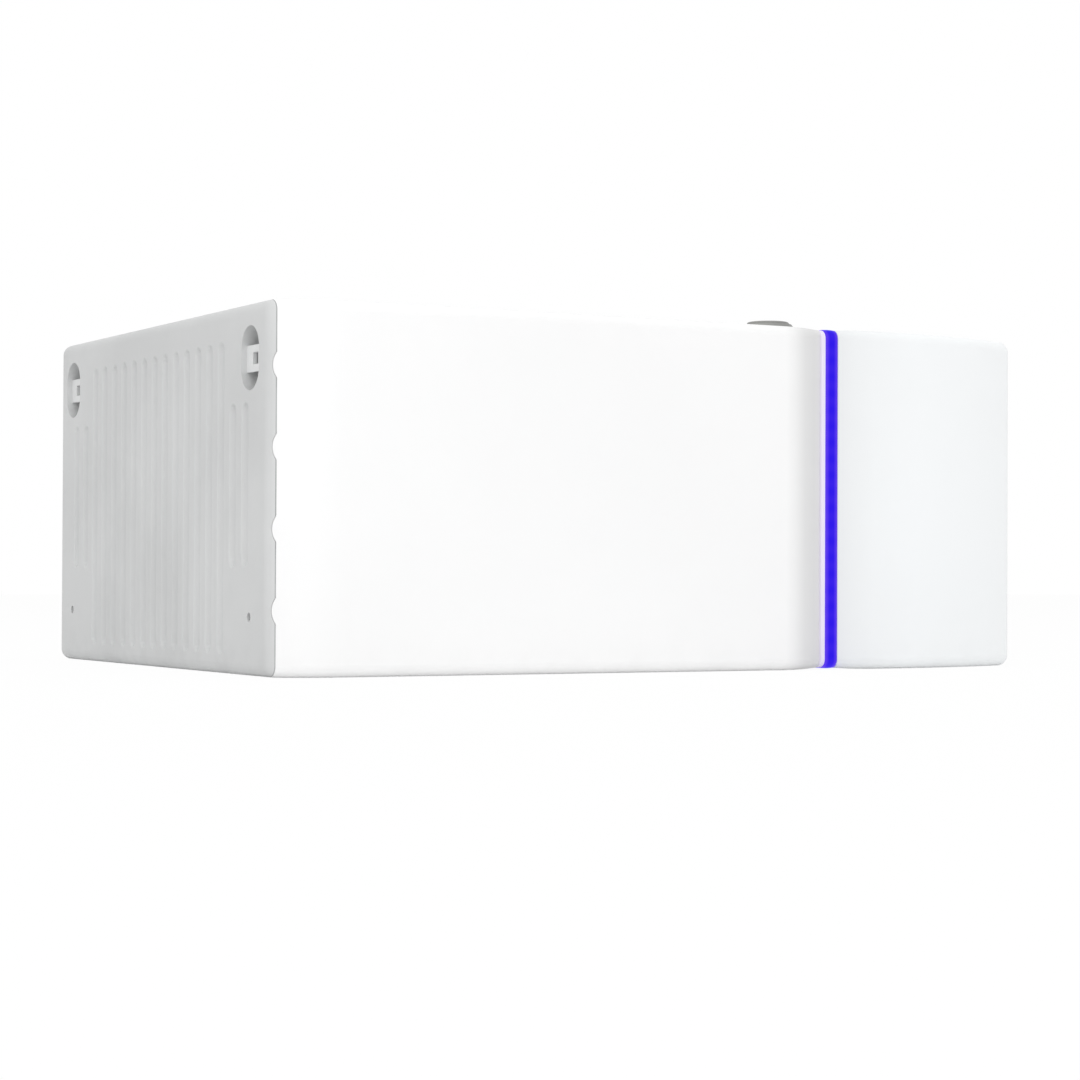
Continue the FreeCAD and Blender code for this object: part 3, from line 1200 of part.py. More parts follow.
def control_board():
    """The control board in front of the mid frame."""
    start = "LightStart + ControlLift"
    return block("control_board", ("-ControlWide / 2", "ControlWide / 2"), (start, f"{start} + BoardThick"),
                 (f"{HALF_HEIGHT} - ControlTall / 2", f"{HALF_HEIGHT} + ControlTall / 2"))


def build():
    """Build every sub-part and return them all."""
    outer = envelope()
    inner = hollow()
    parts = [rear_heat_sink(outer), wrap_shell(outer, inner), rear_gasket(outer, inner), casting_screws()]
    parts += [mid_frame(), light_ring(), led_strips(), front_gasket(), front_cap(outer), front_cap_screws()]
    parts += [button_bezel(), button_cap(), button_nut(), button_spring(), button_switch(), button_board()]
    parts += [cell_tray(), tie_rods(), busbars(), equipment_shelf(), bms_board(), board_standoffs()]
    parts += [contactor(), main_fuse(), fuse_holders(), transformer_core(), transformer_coil()]
    parts += [power_board(), power_modules(), link_capacitors(), line_choke(), control_board()]
    parts += [connector_bay(), data_socket(), earth_stud(), vent_plug(), isolator_knob(), isolator_body()]
    for hand, sign in (("left", "-"), ("right", "+")):
        parts += [hook_plate(hand, sign), end_plate(hand, sign), power_socket(hand, sign)]
    for number in range(count("CellRows") * count("CellColumns")):
        parts.append(cell(number + 1, number % count("CellColumns"), number // count("CellColumns")))
    return parts


def export(parts):
    """Check every object and every sub-part, then write each sub-part's STEP file."""
    doc.recompute()
    failed = [item.Name for item in doc.Objects if "Invalid" in item.State or "Error" in item.State]
    if failed:
        raise RuntimeError(f"objects that failed: {failed}")
    broken = [part.Label for part in parts if part.Shape.isNull() or not part.Shape.isValid()]
    if broken:
        raise RuntimeError(f"sub-parts with no valid shape: {broken}")
    os.makedirs("parts", exist_ok=True)
    for part in parts:
        part.Shape.exportStep(f"parts/{part.Label}.step")
        solids = part.Shape.Solids
        print(f"{part.Label}: {len(solids)} solid(s), {part.Shape.Volume / 1000:.1f} cm3")


export(build())
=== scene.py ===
"""Looks of a wall battery unit: finishes for every node, modelled outer pieces, camera, floor and light."""

from __future__ import annotations

import json
import logging
import math
from dataclasses import dataclass, field
from enum import Enum
from typing import Any, Mapping

import bmesh
import bpy
import numpy as np
from mathutils import Matrix, Vector

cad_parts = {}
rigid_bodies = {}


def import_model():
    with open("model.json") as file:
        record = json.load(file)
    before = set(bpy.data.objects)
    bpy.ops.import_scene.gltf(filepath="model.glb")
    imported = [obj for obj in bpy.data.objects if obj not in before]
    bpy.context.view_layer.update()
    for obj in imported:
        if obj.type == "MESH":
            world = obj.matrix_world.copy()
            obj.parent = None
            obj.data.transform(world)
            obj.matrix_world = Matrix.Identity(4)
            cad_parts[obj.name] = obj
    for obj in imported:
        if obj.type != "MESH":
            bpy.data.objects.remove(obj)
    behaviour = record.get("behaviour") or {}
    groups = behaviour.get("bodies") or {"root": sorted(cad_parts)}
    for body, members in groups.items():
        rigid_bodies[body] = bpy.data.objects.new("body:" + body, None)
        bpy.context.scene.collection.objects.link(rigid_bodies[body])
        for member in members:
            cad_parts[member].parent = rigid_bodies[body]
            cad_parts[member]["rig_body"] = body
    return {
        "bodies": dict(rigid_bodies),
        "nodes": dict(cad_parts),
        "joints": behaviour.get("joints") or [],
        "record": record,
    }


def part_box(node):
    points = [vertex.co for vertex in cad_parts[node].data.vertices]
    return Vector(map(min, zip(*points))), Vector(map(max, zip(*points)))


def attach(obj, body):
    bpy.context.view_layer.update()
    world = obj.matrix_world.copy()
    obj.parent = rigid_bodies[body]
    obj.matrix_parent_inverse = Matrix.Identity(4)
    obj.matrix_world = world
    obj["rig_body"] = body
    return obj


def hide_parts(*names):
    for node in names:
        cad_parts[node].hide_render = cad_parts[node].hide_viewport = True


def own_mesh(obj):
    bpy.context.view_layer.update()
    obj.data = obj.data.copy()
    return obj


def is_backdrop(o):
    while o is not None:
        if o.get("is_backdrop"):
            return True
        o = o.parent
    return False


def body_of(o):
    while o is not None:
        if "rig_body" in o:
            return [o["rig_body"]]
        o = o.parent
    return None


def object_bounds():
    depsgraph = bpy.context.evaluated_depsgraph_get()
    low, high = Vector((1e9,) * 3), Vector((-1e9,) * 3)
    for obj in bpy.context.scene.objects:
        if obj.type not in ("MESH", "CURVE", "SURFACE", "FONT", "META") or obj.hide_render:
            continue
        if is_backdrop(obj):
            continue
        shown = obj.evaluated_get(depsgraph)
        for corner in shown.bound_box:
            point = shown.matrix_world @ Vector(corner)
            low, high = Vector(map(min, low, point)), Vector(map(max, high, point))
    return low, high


LOG = logging.getLogger("battery_unit")
MERGE_DISTANCE = 1e-7
SHARP_ANGLE = math.radians(38)
FULL_SCALE = 255.0
LINEAR_KNEE = 0.04045
LINEAR_SLOPE = 12.92
CURVE_OFFSET = 0.055
CURVE_POWER = 2.4
FINE_DETAIL = 2.0
CLOUD_DETAIL = 3.0
RICH_DETAIL = 4.0
NEAREST_SHARE = 0.45
RIM_POWER = 8
TURN_STEPS = 144
BEND_STEPS = 9
CORNER_STEPS = 6
PATH_STEPS = 16
COIL_STEPS = 36
WIRE_STEPS = 12
Range = tuple[float, float]
Colour = tuple[float, float, float]


class Axis(Enum):
    """The directions that a turned shape or a ridged finish can run along."""

    X = (1.0, 0.0, 0.0)
    Y = (0.0, 1.0, 0.0)
    Z = (0.0, 0.0, 1.0)


# ---------------------------------------------------------------- shader expressions


def linear(red: int, green: int, blue: int) -> Colour:
    """Turn display values from 0 to 255 into linear light.

    Args:
        red: Red display value.
        green: Green display value.
        blue: Blue display value.

    Returns:
        The colour in linear light.
    """
    shares = (red / FULL_SCALE, green / FULL_SCALE, blue / FULL_SCALE)
    return tuple(s / LINEAR_SLOPE if s <= LINEAR_KNEE else ((s + CURVE_OFFSET) / (1.0 + CURVE_OFFSET)) ** CURVE_POWER
                 for s in shares)


class Signal:
    """A shader socket that takes part in Python arithmetic."""

    def __init__(self, recipe: Tree, socket: bpy.types.NodeSocket) -> None:
        """Wrap a socket of a recipe's node tree."""
        self.recipe = recipe
        self.socket = socket

    def maths(self, operation: str, first: Any, second: Any = 0.0) -> Signal:
        """Add a Math node.

        Args:
            operation: The node's operation, such as MULTIPLY.
            first: First value or signal.
            second: Second value or signal.

        Returns:
            The node's result.
        """
        return self.recipe.add("ShaderNodeMath", {"operation": operation}, {0: first, 1: second}).out()

    def __add__(self, other: Any) -> Signal:
        """Add another value."""
        return self.maths("ADD", self, other)

    def __radd__(self, other: Any) -> Signal:
        """Add this to a number."""
        return self.maths("ADD", other, self)

    def __sub__(self, other: Any) -> Signal:
        """Take another value away."""
        return self.maths("SUBTRACT", self, other)

    def __rsub__(self, other: Any) -> Signal:
        """Take this away from a number."""
        return self.maths("SUBTRACT", other, self)

    def __mul__(self, other: Any) -> Signal:
        """Multiply by another value."""
        return self.maths("MULTIPLY", self, other)

    def __rmul__(self, other: Any) -> Signal:
        """Multiply a number by this."""
        return self.maths("MULTIPLY", other, self)

    def __truediv__(self, other: Any) -> Signal:
        """Divide by another value."""
        return self.maths("DIVIDE", self, other)

    def __rtruediv__(self, other: Any) -> Signal:
        """Divide a number by this."""
        return self.maths("DIVIDE", other, self)

    def __gt__(self, other: Any) -> Signal:
        """Give 1 where this is larger."""
        return self.maths("GREATER_THAN", self, other)

    def __abs__(self) -> Signal:
        """Drop the sign."""
        return self.maths("ABSOLUTE", self)

    def ramp(self, low: float, high: float) -> Signal:
        """Rise smoothly from 0 at low to 1 at high.

        Args:
            low: Value where the result is 0.
            high: Value where the result is 1.

        Returns:
            The smoothed share.
        """
        settings = {"interpolation_type": "SMOOTHSTEP"}
        return self.recipe.add("ShaderNodeMapRange", settings, {0: self, 1: low, 2: high}).out()

    def wave(self, length: float) -> Signal:
        """Turn a distance into a wave from 0 to 1 that repeats each length."""
        return self.maths("SINE", self * (2.0 * math.pi / length)) * 0.5 + 0.5


class Added:
    """A node that a recipe added."""

    def __init__(self, recipe: Tree, node: bpy.types.Node) -> None:
        """Keep the node and the recipe it belongs to."""
        self.recipe = recipe
        self.node = node

    def out(self, key: int | str = 0) -> Signal:
        """Give one of the node's outputs as a signal."""
        return Signal(self.recipe, self.node.outputs[key])


class Tree:
    """A shader node tree, built from expressions."""

    def __init__(self, nodes: bpy.types.NodeTree) -> None:
        """Build in this node tree."""
        self.tree = nodes

    def add(self, kind: str, settings: Mapping[str, Any] | None = None,
            values: Mapping[int | str, Any] | None = None) -> Added:
        """Add any node.

        Args:
            kind: The node's type.
            settings: Properties to set first; "stops" gives a colour ramp's (place, colour) pairs.
            values: Socket index or name to a plain value or a signal.

        Returns:
            The node.
        """
        node = self.tree.nodes.new(kind)
        for key, setting in (settings or {}).items():
            if key == "stops":
                elements = node.color_ramp.elements
                for index, (place, colour) in enumerate(setting):
                    element = elements[index] if index < len(elements) else elements.new(place)
                    element.position = place
                    element.color = (*colour, 1.0)
            else:
                setattr(node, key, setting)
        for key, given in (values or {}).items():
            if isinstance(given, Signal):
                self.tree.links.new(given.socket, node.inputs[key])
            else:
                node.inputs[key].default_value = given
        return Added(self, node)

    def seen_as_white(self) -> Signal:
        """Give 1 for camera, mirror and glass rays, and 0 for all others."""
        path = self.add("ShaderNodeLightPath")
        return (path.out("Is Camera Ray") + path.out("Is Glossy Ray") + path.out("Is Transmission Ray")) > 0.5


class Recipe(Tree):
    """A material's node tree."""

    def __init__(self, name: str) -> None:
        """Start an empty material with this name."""
        self.material = bpy.data.materials.new(name)
        self.material.use_nodes = True
        super().__init__(self.material.node_tree)
        self.tree.nodes.clear()
        self.place = self.add("ShaderNodeTexCoord").out("Object")
        parts = self.add("ShaderNodeSeparateXYZ", {}, {0: self.place})
        self.x, self.y, self.z = parts.out(0), parts.out(1), parts.out(2)

    def noise(self, scale: float, detail: float = FINE_DETAIL, stretch: Colour = (1.0, 1.0, 1.0)) -> Signal:
        """Give cloudy noise on the object's own coordinates.

        Args:
            scale: Features per metre.
            detail: Octaves.
            stretch: Scale along each axis, for drawn or brushed grain.

        Returns:
            The noise, about 0.5 on average.
        """
        where = self.place
        if stretch != (1.0, 1.0, 1.0):
            where = self.add("ShaderNodeMapping", {}, {"Vector": self.place, "Scale": stretch}).out()
        return self.add("ShaderNodeTexNoise", {}, {"Vector": where, "Scale": scale, "Detail": detail}).out(0)

    def cells(self, scale: float, key: int = 0) -> Signal:
        """Give a cell pattern: distance to the cell's centre, or its colour at key 1."""
        return self.add("ShaderNodeTexVoronoi", {}, {"Vector": self.place, "Scale": scale}).out(key)

    def blend(self, factor: Any, first: Any, second: Any, way: str = "MIX") -> Signal:
        """Mix two colours.

        Args:
            factor: Share of the second colour.
            first: Colour or signal at 0.
            second: Colour or signal at 1.
            way: The Mix node's blend type.

        Returns:
            The mixed colour.
        """
        pair = [(*c, 1.0) if isinstance(c, tuple) else c for c in (first, second)]
        settings = {"data_type": "RGBA", "blend_type": way}
        return self.add("ShaderNodeMix", settings, {0: factor, 6: pair[0], 7: pair[1]}).out(2)

    def bump(self, height: Signal, depth: float) -> Signal:
        """Turn a height from 0 to 1 into a normal, with the full step's depth in metres."""
        return self.add("ShaderNodeBump", {}, {"Height": height, "Distance": depth, "Strength": 1.0}).out()

    def surface(self, **inputs: Any) -> bpy.types.Material:
        """Finish with a Principled shader.

        Args:
            **inputs: Socket names with spaces written as underscores, and their values or signals.

        Returns:
            The material.
        """
        values = {}
        for key, given in inputs.items():
            values[key.replace("_", " ")] = (*given, 1.0) if isinstance(given, tuple) else given
        shader = self.add("ShaderNodeBsdfPrincipled", {}, values)
        self.add("ShaderNodeOutputMaterial", {}, {"Surface": shader.out()})
        return self.material


# ---------------------------------------------------------------- finishes


@dataclass(frozen=True)
class PaintedShade:
    """Painted shade: grey steps multiplied into a colour along the object's depth, standing in for the shade where a
    panel turns towards a groove.
    """

    start: float
    end: float
    stops: tuple[tuple[float, Colour], ...]

    def with_painted_shade(self, recipe: Recipe, tone: Any) -> Signal:
        """Multiply a tone by the painted shade.

        Args:
            recipe: The tree to add to.
            tone: Colour or signal to tint.

        Returns:
            The colour, darkened by the painted shade.
        """
        place = recipe.add("ShaderNodeMapRange", {}, {0: recipe.y, 1: self.start, 2: self.end}).out()
        tint = recipe.add("ShaderNodeValToRGB", {"stops": self.stops}, {0: place}).out()
        return recipe.blend(1.0, tone, tint, "MULTIPLY")


@dataclass(frozen=True)
class Coating:
    """A sprayed, powder-coated or moulded skin: faint clouding, fine grain, a little dust low down, and, where given,
    painted shade multiplied in along the depth.
    """

    name: str
    colour: Colour
    cloud_colour: Colour
    roughness: float = 0.42
    spread: float = 0.10
    cloud: float = 7.0
    grain: float = 1400.0
    grain_depth: float = 0.00002
    coat: float = 0.0
    dust: float = 0.0
    # Optional painted shade along Y.
    painted_shade: PaintedShade | None = None
    cloud_band: Range = (0.32, 0.68)
    cloud_rough: float = 0.04
    dust_high: float = 0.03
    dust_scale: float = 60.0
    dust_band: Range = (0.35, 0.7)
    dust_shade: float = 0.8
    coat_rough: float = 0.15

    def material(self) -> bpy.types.Material:
        """Build the coating.

        Returns:
            The material.
        """
        recipe = Recipe(self.name)
        cloud = recipe.noise(self.cloud, RICH_DETAIL).ramp(*self.cloud_band)
        grain = recipe.noise(self.grain)
        tone: Any = recipe.blend(cloud, self.colour, self.cloud_colour)
        if self.dust:
            specks = recipe.noise(self.dust_scale, CLOUD_DETAIL).ramp(*self.dust_band)
            low = (1.0 - recipe.z.ramp(0.0, self.dust_high)) * specks * self.dust
            tone = recipe.blend(low, tone, tuple(self.dust_shade * c for c in self.colour))
        # Painted shade: grey steps along Y multiplied into the base colour.
        if self.painted_shade:
            tone = self.painted_shade.with_painted_shade(recipe, tone)
        rough = (grain - 0.5) * self.spread + (cloud * self.cloud_rough + self.roughness)
        return recipe.surface(Base_Color=tone, Roughness=rough, Coat_Weight=self.coat,
                              Coat_Roughness=self.coat_rough,
                              Normal=recipe.bump(grain, self.grain_depth))


@dataclass(frozen=True)
class Metal:
    """A drawn, brushed or plated metal with grain along one axis and dull patches."""

    name: str
    colour: Colour
    dull: Colour
    stretch: Colour = (40.0, 40.0, 1.0)
    roughness: float = 0.32
    grain_depth: float = 0.00001
    grain_scale: float = 30.0
    grain_share: float = 0.45
    grain_rough: float = 0.14
    patch_scale: float = 45.0
    patch_band: Range = (0.4, 0.75)
    patch_share: float = 0.35
    patch_rough: float = 0.12

    def material(self) -> bpy.types.Material:
        """Build the metal.

        Returns:
            The material.
        """
        recipe = Recipe(self.name)
        grain = recipe.noise(self.grain_scale, RICH_DETAIL, self.stretch)
        patch = recipe.noise(self.patch_scale, CLOUD_DETAIL).ramp(*self.patch_band)
        tone = recipe.blend(grain * self.grain_share + patch * self.patch_share, self.colour, self.dull)
        rough = grain * self.grain_rough + patch * self.patch_rough + self.roughness
        return recipe.surface(Base_Color=tone, Roughness=rough, Metallic=1.0,
                              Normal=recipe.bump(grain, self.grain_depth))


@dataclass(frozen=True)
class Galvanised:
    """Zinc-coated sheet with its crystal spangle."""

    name: str
    light: Colour
    dark: Colour
    crystals: float = 130.0
    crystal_share: float = 0.7
    crystal_rough: float = 0.16
    crystal_relief: float = 0.000008
    haze_scale: float = 20.0
    roughness: float = 0.34

    def material(self) -> bpy.types.Material:
        """Build the spangled sheet.

        Returns:
            The material.
        """
        recipe = Recipe(self.name)
        crystal = recipe.add("ShaderNodeSeparateColor", {}, {0: recipe.cells(self.crystals, 1)}).out(0)
        haze = recipe.noise(self.haze_scale, CLOUD_DETAIL)
        mottle = crystal * self.crystal_share + haze * (1.0 - self.crystal_share)
        return recipe.surface(Base_Color=recipe.blend(mottle, self.light, self.dark), Metallic=1.0,
                              Roughness=crystal * self.crystal_rough + self.roughness,
                              Normal=recipe.bump(crystal, self.crystal_relief))


@dataclass(frozen=True)
class CircuitBoard:
    """Solder mask over copper tracks, with plated holes."""

    name: str
    mask: Colour
    track: Colour
    pad: Colour
    pitch: float = 0.0026
    slant: float = 0.13
    zone_scale: float = 55.0
    zone_band: Range = (0.49, 0.51)
    track_band: Range = (0.62, 0.7)
    hole_scale: float = 210.0
    hole_band: Range = (0.12, 0.15)
    hole_relief: float = 0.5
    hole_polish: float = 0.15
    roughness: float = 0.42
    relief: float = 0.00004

    def material(self) -> bpy.types.Material:
        """Build the board.

        Returns:
            The material.
        """
        recipe = Recipe(self.name)
        across = recipe.x + recipe.z * self.slant
        along = recipe.y + recipe.z
        zone = recipe.noise(self.zone_scale, 0.0).ramp(*self.zone_band)
        lines = across.wave(self.pitch) * zone + along.wave(self.pitch) * (1.0 - zone)
        tracks = lines.ramp(*self.track_band)
        holes = 1.0 - recipe.cells(self.hole_scale).ramp(*self.hole_band)
        tone = recipe.blend(holes, recipe.blend(tracks, self.mask, self.track), self.pad)
        return recipe.surface(Base_Color=tone, Roughness=self.roughness - holes * self.hole_polish, Metallic=holes,
                              Normal=recipe.bump(tracks + holes * self.hole_relief, self.relief))


@dataclass(frozen=True)
class Ridged:
    """Enamelled wire wound in neat turns, or stacked sheets, as fine ridges along one direction."""

    name: str
    crest: Colour
    valley: Colour
    heading: Axis
    pitch: float = 0.0016
    depth: float = 0.0004
    metallic: float = 0.8
    wander_scale: float = 90.0
    wander: float = 0.0004
    crest_band: Range = (0.1, 0.7)
    roughness: float = 0.46
    crest_polish: float = 0.14

    def material(self) -> bpy.types.Material:
        """Build the ridged finish.

        Returns:
            The material.
        """
        recipe = Recipe(self.name)
        run = {Axis.X: recipe.x, Axis.Y: recipe.y, Axis.Z: recipe.z}[self.heading]
        ridge = (run + recipe.noise(self.wander_scale) * self.wander).wave(self.pitch)
        tone = recipe.blend(ridge.ramp(*self.crest_band), self.valley, self.crest)
        return recipe.surface(Base_Color=tone, Roughness=self.roughness - ridge * self.crest_polish,
                              Metallic=self.metallic, Normal=recipe.bump(ridge, self.depth))


@dataclass(frozen=True)
class ShrinkFilm:
    """Thin film shrunk over a metal can: faint wrinkles and a glossy skin."""

    name: str
    colour: Colour
    deep: Colour
    wrinkle: float = 0.00012
    fold_scale: float = 38.0
    fold_stretch: Colour = (1.0, 1.0, 4.0)
    fold_band: Range = (0.3, 0.8)
    fold_share: float = 0.5
    fold_rough: float = 0.2
    haze_scale: float = 9.0
    haze_share: float = 0.4
    roughness: float = 0.2
    coat: float = 0.4

    def material(self) -> bpy.types.Material:
        """Build the film.

        Returns:
            The material.
        """
        recipe = Recipe(self.name)
        folds = recipe.noise(self.fold_scale, CLOUD_DETAIL, self.fold_stretch)
        haze = recipe.noise(self.haze_scale, CLOUD_DETAIL)
        mottle = folds.ramp(*self.fold_band) * self.fold_share + haze * self.haze_share
        return recipe.surface(Base_Color=recipe.blend(mottle, self.colour, self.deep), Coat_Weight=self.coat,
                              Roughness=folds * self.fold_rough + self.roughness,
                              Normal=recipe.bump(folds, self.wrinkle))


@dataclass(frozen=True)
class Glow:
    """A light guide lit from within: deep in the middle of its band and paler towards both sides."""

    name: str
    core: Colour
    edge: Colour
    middle: float
    half_wide: float
    strength: float = 1.0
    led_pitch: float = 0.012
    spot_share: float = 0.12
    edge_share: float = 0.9
    edge_band: Range = (0.25, 1.0)
    unlit_share: float = 0.02
    specular: float = 0.05
    grain: float = 900.0
    grain_rough: float = 0.1
    roughness: float = 0.3

    def material(self) -> bpy.types.Material:
        """Build the lit guide.

        Returns:
            The material.
        """
        recipe = Recipe(self.name)
        off_middle = abs(recipe.y - self.middle) / self.half_wide
        spots = (recipe.x + recipe.z).wave(self.led_pitch) * self.spot_share
        share = off_middle.ramp(*self.edge_band) * self.edge_share + spots
        return recipe.surface(Base_Color=tuple(self.unlit_share * c for c in self.core),
                              Specular_IOR_Level=self.specular,
                              Roughness=recipe.noise(self.grain) * self.grain_rough + self.roughness,
                              Emission_Color=recipe.blend(share, self.core, self.edge),
                              Emission_Strength=self.strength)


def grey(level: float) -> Colour:
    """Give a grey in linear light."""
    return (level, level, level)


# Painted shade on the shell: grey steps that darken its white towards the lit ring, multiplied into the base colour
# along Y.
SHELL_PAINTED_SHADE = PaintedShade(-0.117, -0.086, ((0.0, grey(0.80)), (0.18, grey(0.76)), (0.45, grey(0.80)), (0.75, grey(0.93)),
                                   (1.0, grey(1.0))))
# Painted shade on the front cap: grey steps that darken its white towards the groove by the lit ring.
CAP_PAINTED_SHADE = PaintedShade(-0.26, -0.131, ((0.0, grey(1.0)), (0.45, grey(0.995)), (0.75, grey(0.965)), (0.9, grey(0.92)),
                                (1.0, grey(0.88))))
# White lacquer of the shell, with its painted shade near the ring.
WHITE_LACQUER_PAINTED_SHADE = Coating("white_lacquer_painted_shade", linear(249, 249, 249), linear(251, 251, 251), 0.46, 0.06, 5.0, 1800.0,
                        0.000008, 0.12, 0.1, SHELL_PAINTED_SHADE)
# White of the front cap, with its painted shade near the groove.
CAP_WHITE_PAINTED_SHADE = Coating("cap_white", linear(248, 250, 251), linear(250, 252, 253), 0.44, 0.06, 6.0, 1500.0, 0.00001, 0.15,
                    0.1, CAP_PAINTED_SHADE)
CASTING_GREY = Coating("casting_grey", linear(208, 209, 209), linear(215, 216, 216), 0.56, 0.16, 9.0, 700.0, 0.00005,
                       dust=0.25)
# The rim's own pale tone with a violet tint painted in: painted light standing in for the glow of the lit band beside
# it.
PALE_RIM_PAINTED_LED_LIGHT = Coating("pale_rim_painted_led_light", linear(236, 230, 248), linear(238, 233, 249), 0.4, 0.05, 12.0, 1600.0, 0.000006, 0.1)
HOOK_PAINT = Coating("hook_paint", linear(226, 227, 227), linear(231, 232, 232), 0.5, 0.12, 30.0, 900.0, 0.00003)
BUTTON_GREY = Coating("button_grey", linear(138, 138, 136), linear(148, 148, 145), 0.48, 0.14, 60.0, 2400.0, 0.00003)
SEAL_GREY = Coating("seal_grey", linear(176, 177, 178), linear(160, 161, 162), 0.75, 0.1, 40.0, 900.0, 0.00006)
BAY_GREY = Coating("bay_grey", linear(74, 76, 78), linear(84, 86, 88), 0.55, 0.2, 25.0, 1300.0, 0.00006)
BLACK_MOULDED = Coating("black_moulded", linear(26, 26, 28), linear(36, 36, 38), 0.5, 0.2, 50.0, 1500.0, 0.00005)
RED_MOULDED = Coating("red_moulded", linear(186, 34, 28), linear(170, 26, 24), 0.38, 0.12, 40.0, 1500.0, 0.00003, 0.3)
CERAMIC = Coating("ceramic_body", linear(232, 229, 219), linear(222, 218, 206), 0.22, 0.08, 40.0, 900.0, 0.00002, 0.5)
BOARD_WHITE = Coating("board_white", linear(226, 227, 226), linear(214, 216, 214), 0.4, 0.1, 80.0, 900.0, 0.00002)
CAN_SLEEVE = Coating("can_sleeve", linear(38, 44, 66), linear(52, 58, 80), 0.3, 0.1, 60.0, 900.0, 0.00003, 0.4)
ZINC_SCREW = Metal("zinc_screw", linear(196, 198, 200), linear(150, 152, 156), (12.0, 12.0, 12.0), 0.3)
MILLED_PLATE = Metal("milled_plate", linear(206, 208, 211), linear(176, 178, 182), (1.0, 1.0, 60.0), 0.34)
COPPER_BAR = Metal("copper_bar", linear(214, 140, 102), linear(168, 98, 70), (3.0, 40.0, 40.0), 0.28)
BRASS_PART = Metal("brass_part", linear(214, 186, 118), linear(170, 142, 84), (20.0, 20.0, 20.0), 0.3)
SHEET_ZINC = Galvanised("sheet_zinc", linear(200, 203, 207), linear(150, 154, 160))
GREEN_BOARD = CircuitBoard("green_board", linear(18, 92, 58), linear(34, 128, 82), linear(205, 190, 140))
COPPER_TURNS = Ridged("copper_turns", linear(190, 96, 52), linear(92, 38, 22), Axis.Y)
COIL_TURNS = Ridged("coil_turns", linear(190, 96, 52), linear(92, 38, 22), Axis.Z)
CORE_SHEETS = Ridged("core_sheets", linear(78, 80, 84), linear(38, 39, 42), Axis.Y, 0.0010, 0.00012, 0.5)
BLUE_FILM = ShrinkFilm("blue_film", linear(34, 84, 160), linear(22, 60, 128))


# ---------------------------------------------------------------- surfaces


def grid_quads(rows: int, columns: int, wrap_rows: bool) -> np.ndarray:
    """Give the faces of a grid of points whose columns wrap round.

    Face (i, j) joins points (i, j), (i + 1, j), (i + 1, j + 1) and (i, j + 1), where a wrapped side's last line
    joins its first.

    Args:
        rows: Points along the profile.
        columns: Points round or along the path.
        wrap_rows: Whether the profile is closed.

    Returns:
        The corner numbers, four to a face.
    """
    down, over = np.meshgrid(np.arange(rows if wrap_rows else rows - 1), np.arange(columns), indexing="ij")
    below, beside = (down + 1) % rows, (over + 1) % columns
    corners = (down * columns + over, below * columns + over, below * columns + beside, down * columns + beside)
    return np.stack(corners, axis=-1).reshape(-1, 4)


def softened(corners: np.ndarray, reach: float, closed: bool = False, steps: int = CORNER_STEPS) -> np.ndarray:
    """Round a profile's corners.

    Near a corner P the line is (1 - t)^2 S + 2 t (1 - t) P + t^2 E, where S and E lie the reach away from P towards
    the corners before and after it, or under half way to them on a short side.

    Args:
        corners: Corner points, one per row.
        reach: Distance from a corner over which its curve runs.
        closed: Whether the profile is a loop; an open one keeps its ends.
        steps: Points on each curve.

    Returns:
        The rounded profile.
    """
    at = corners if closed else corners[1:-1]
    before = np.roll(corners, 1, axis=0) if closed else corners[:-2]
    after = np.roll(corners, -1, axis=0) if closed else corners[2:]
    back, ahead = before - at, after - at
    back_long = np.linalg.norm(back, axis=1, keepdims=True)
    ahead_long = np.linalg.norm(ahead, axis=1, keepdims=True)
    start = at + back / back_long * np.minimum(reach, back_long * NEAREST_SHARE)
    end = at + ahead / ahead_long * np.minimum(reach, ahead_long * NEAREST_SHARE)
    share = np.linspace(0.0, 1.0, steps)[None, :, None]
    curve = (1 - share) ** 2 * start[:, None] + 2 * share * (1 - share) * at[:, None] + share**2 * end[:, None]
    curve = curve.reshape(-1, 2)
    return curve if closed else np.vstack([corners[:1], curve, corners[-1:]])


def turned(profile: np.ndarray, base: Vector, axis: Axis, lobes: int = 0, lobe_deep: float = 0.0,
           steps: int = TURN_STEPS) -> np.ndarray:
    """Turn a profile round an axis, with optional flutes in its widest part.

    Point (i, j) is base + r (cos a u + sin a v) + h w, where (r, h) is profile point i, a is turn j, w is the axis
    and u and v are square to it. With flutes, r shrinks by the flute depth times (1 - cos(lobes a)) / 2, times
    (r / widest r)^8, so that only the rim is fluted.

    Args:
        profile: Radius and height of each profile point.
        base: The point at height 0.
        axis: The axis.
        lobes: Number of flutes.
        lobe_deep: Depth of the flutes.
        steps: Points round the axis.

    Returns:
        The points, by profile point and turn.
    """
    angle = np.linspace(0.0, 2.0 * np.pi, steps, endpoint=False)[None, :]
    along = np.array(axis.value)
    across = np.roll(along, 1)
    beyond = np.cross(along, across)
    radius = profile[:, :1] * np.ones_like(angle)
    rim = (radius / radius.max()) ** RIM_POWER
    radius = radius - lobe_deep * rim * (1.0 - np.cos(lobes * angle)) / 2.0
    ring = (radius * np.cos(angle))[..., None] * across + (radius * np.sin(angle))[..., None] * beyond
    return np.array(base) + ring + profile[:, 1, None, None] * along


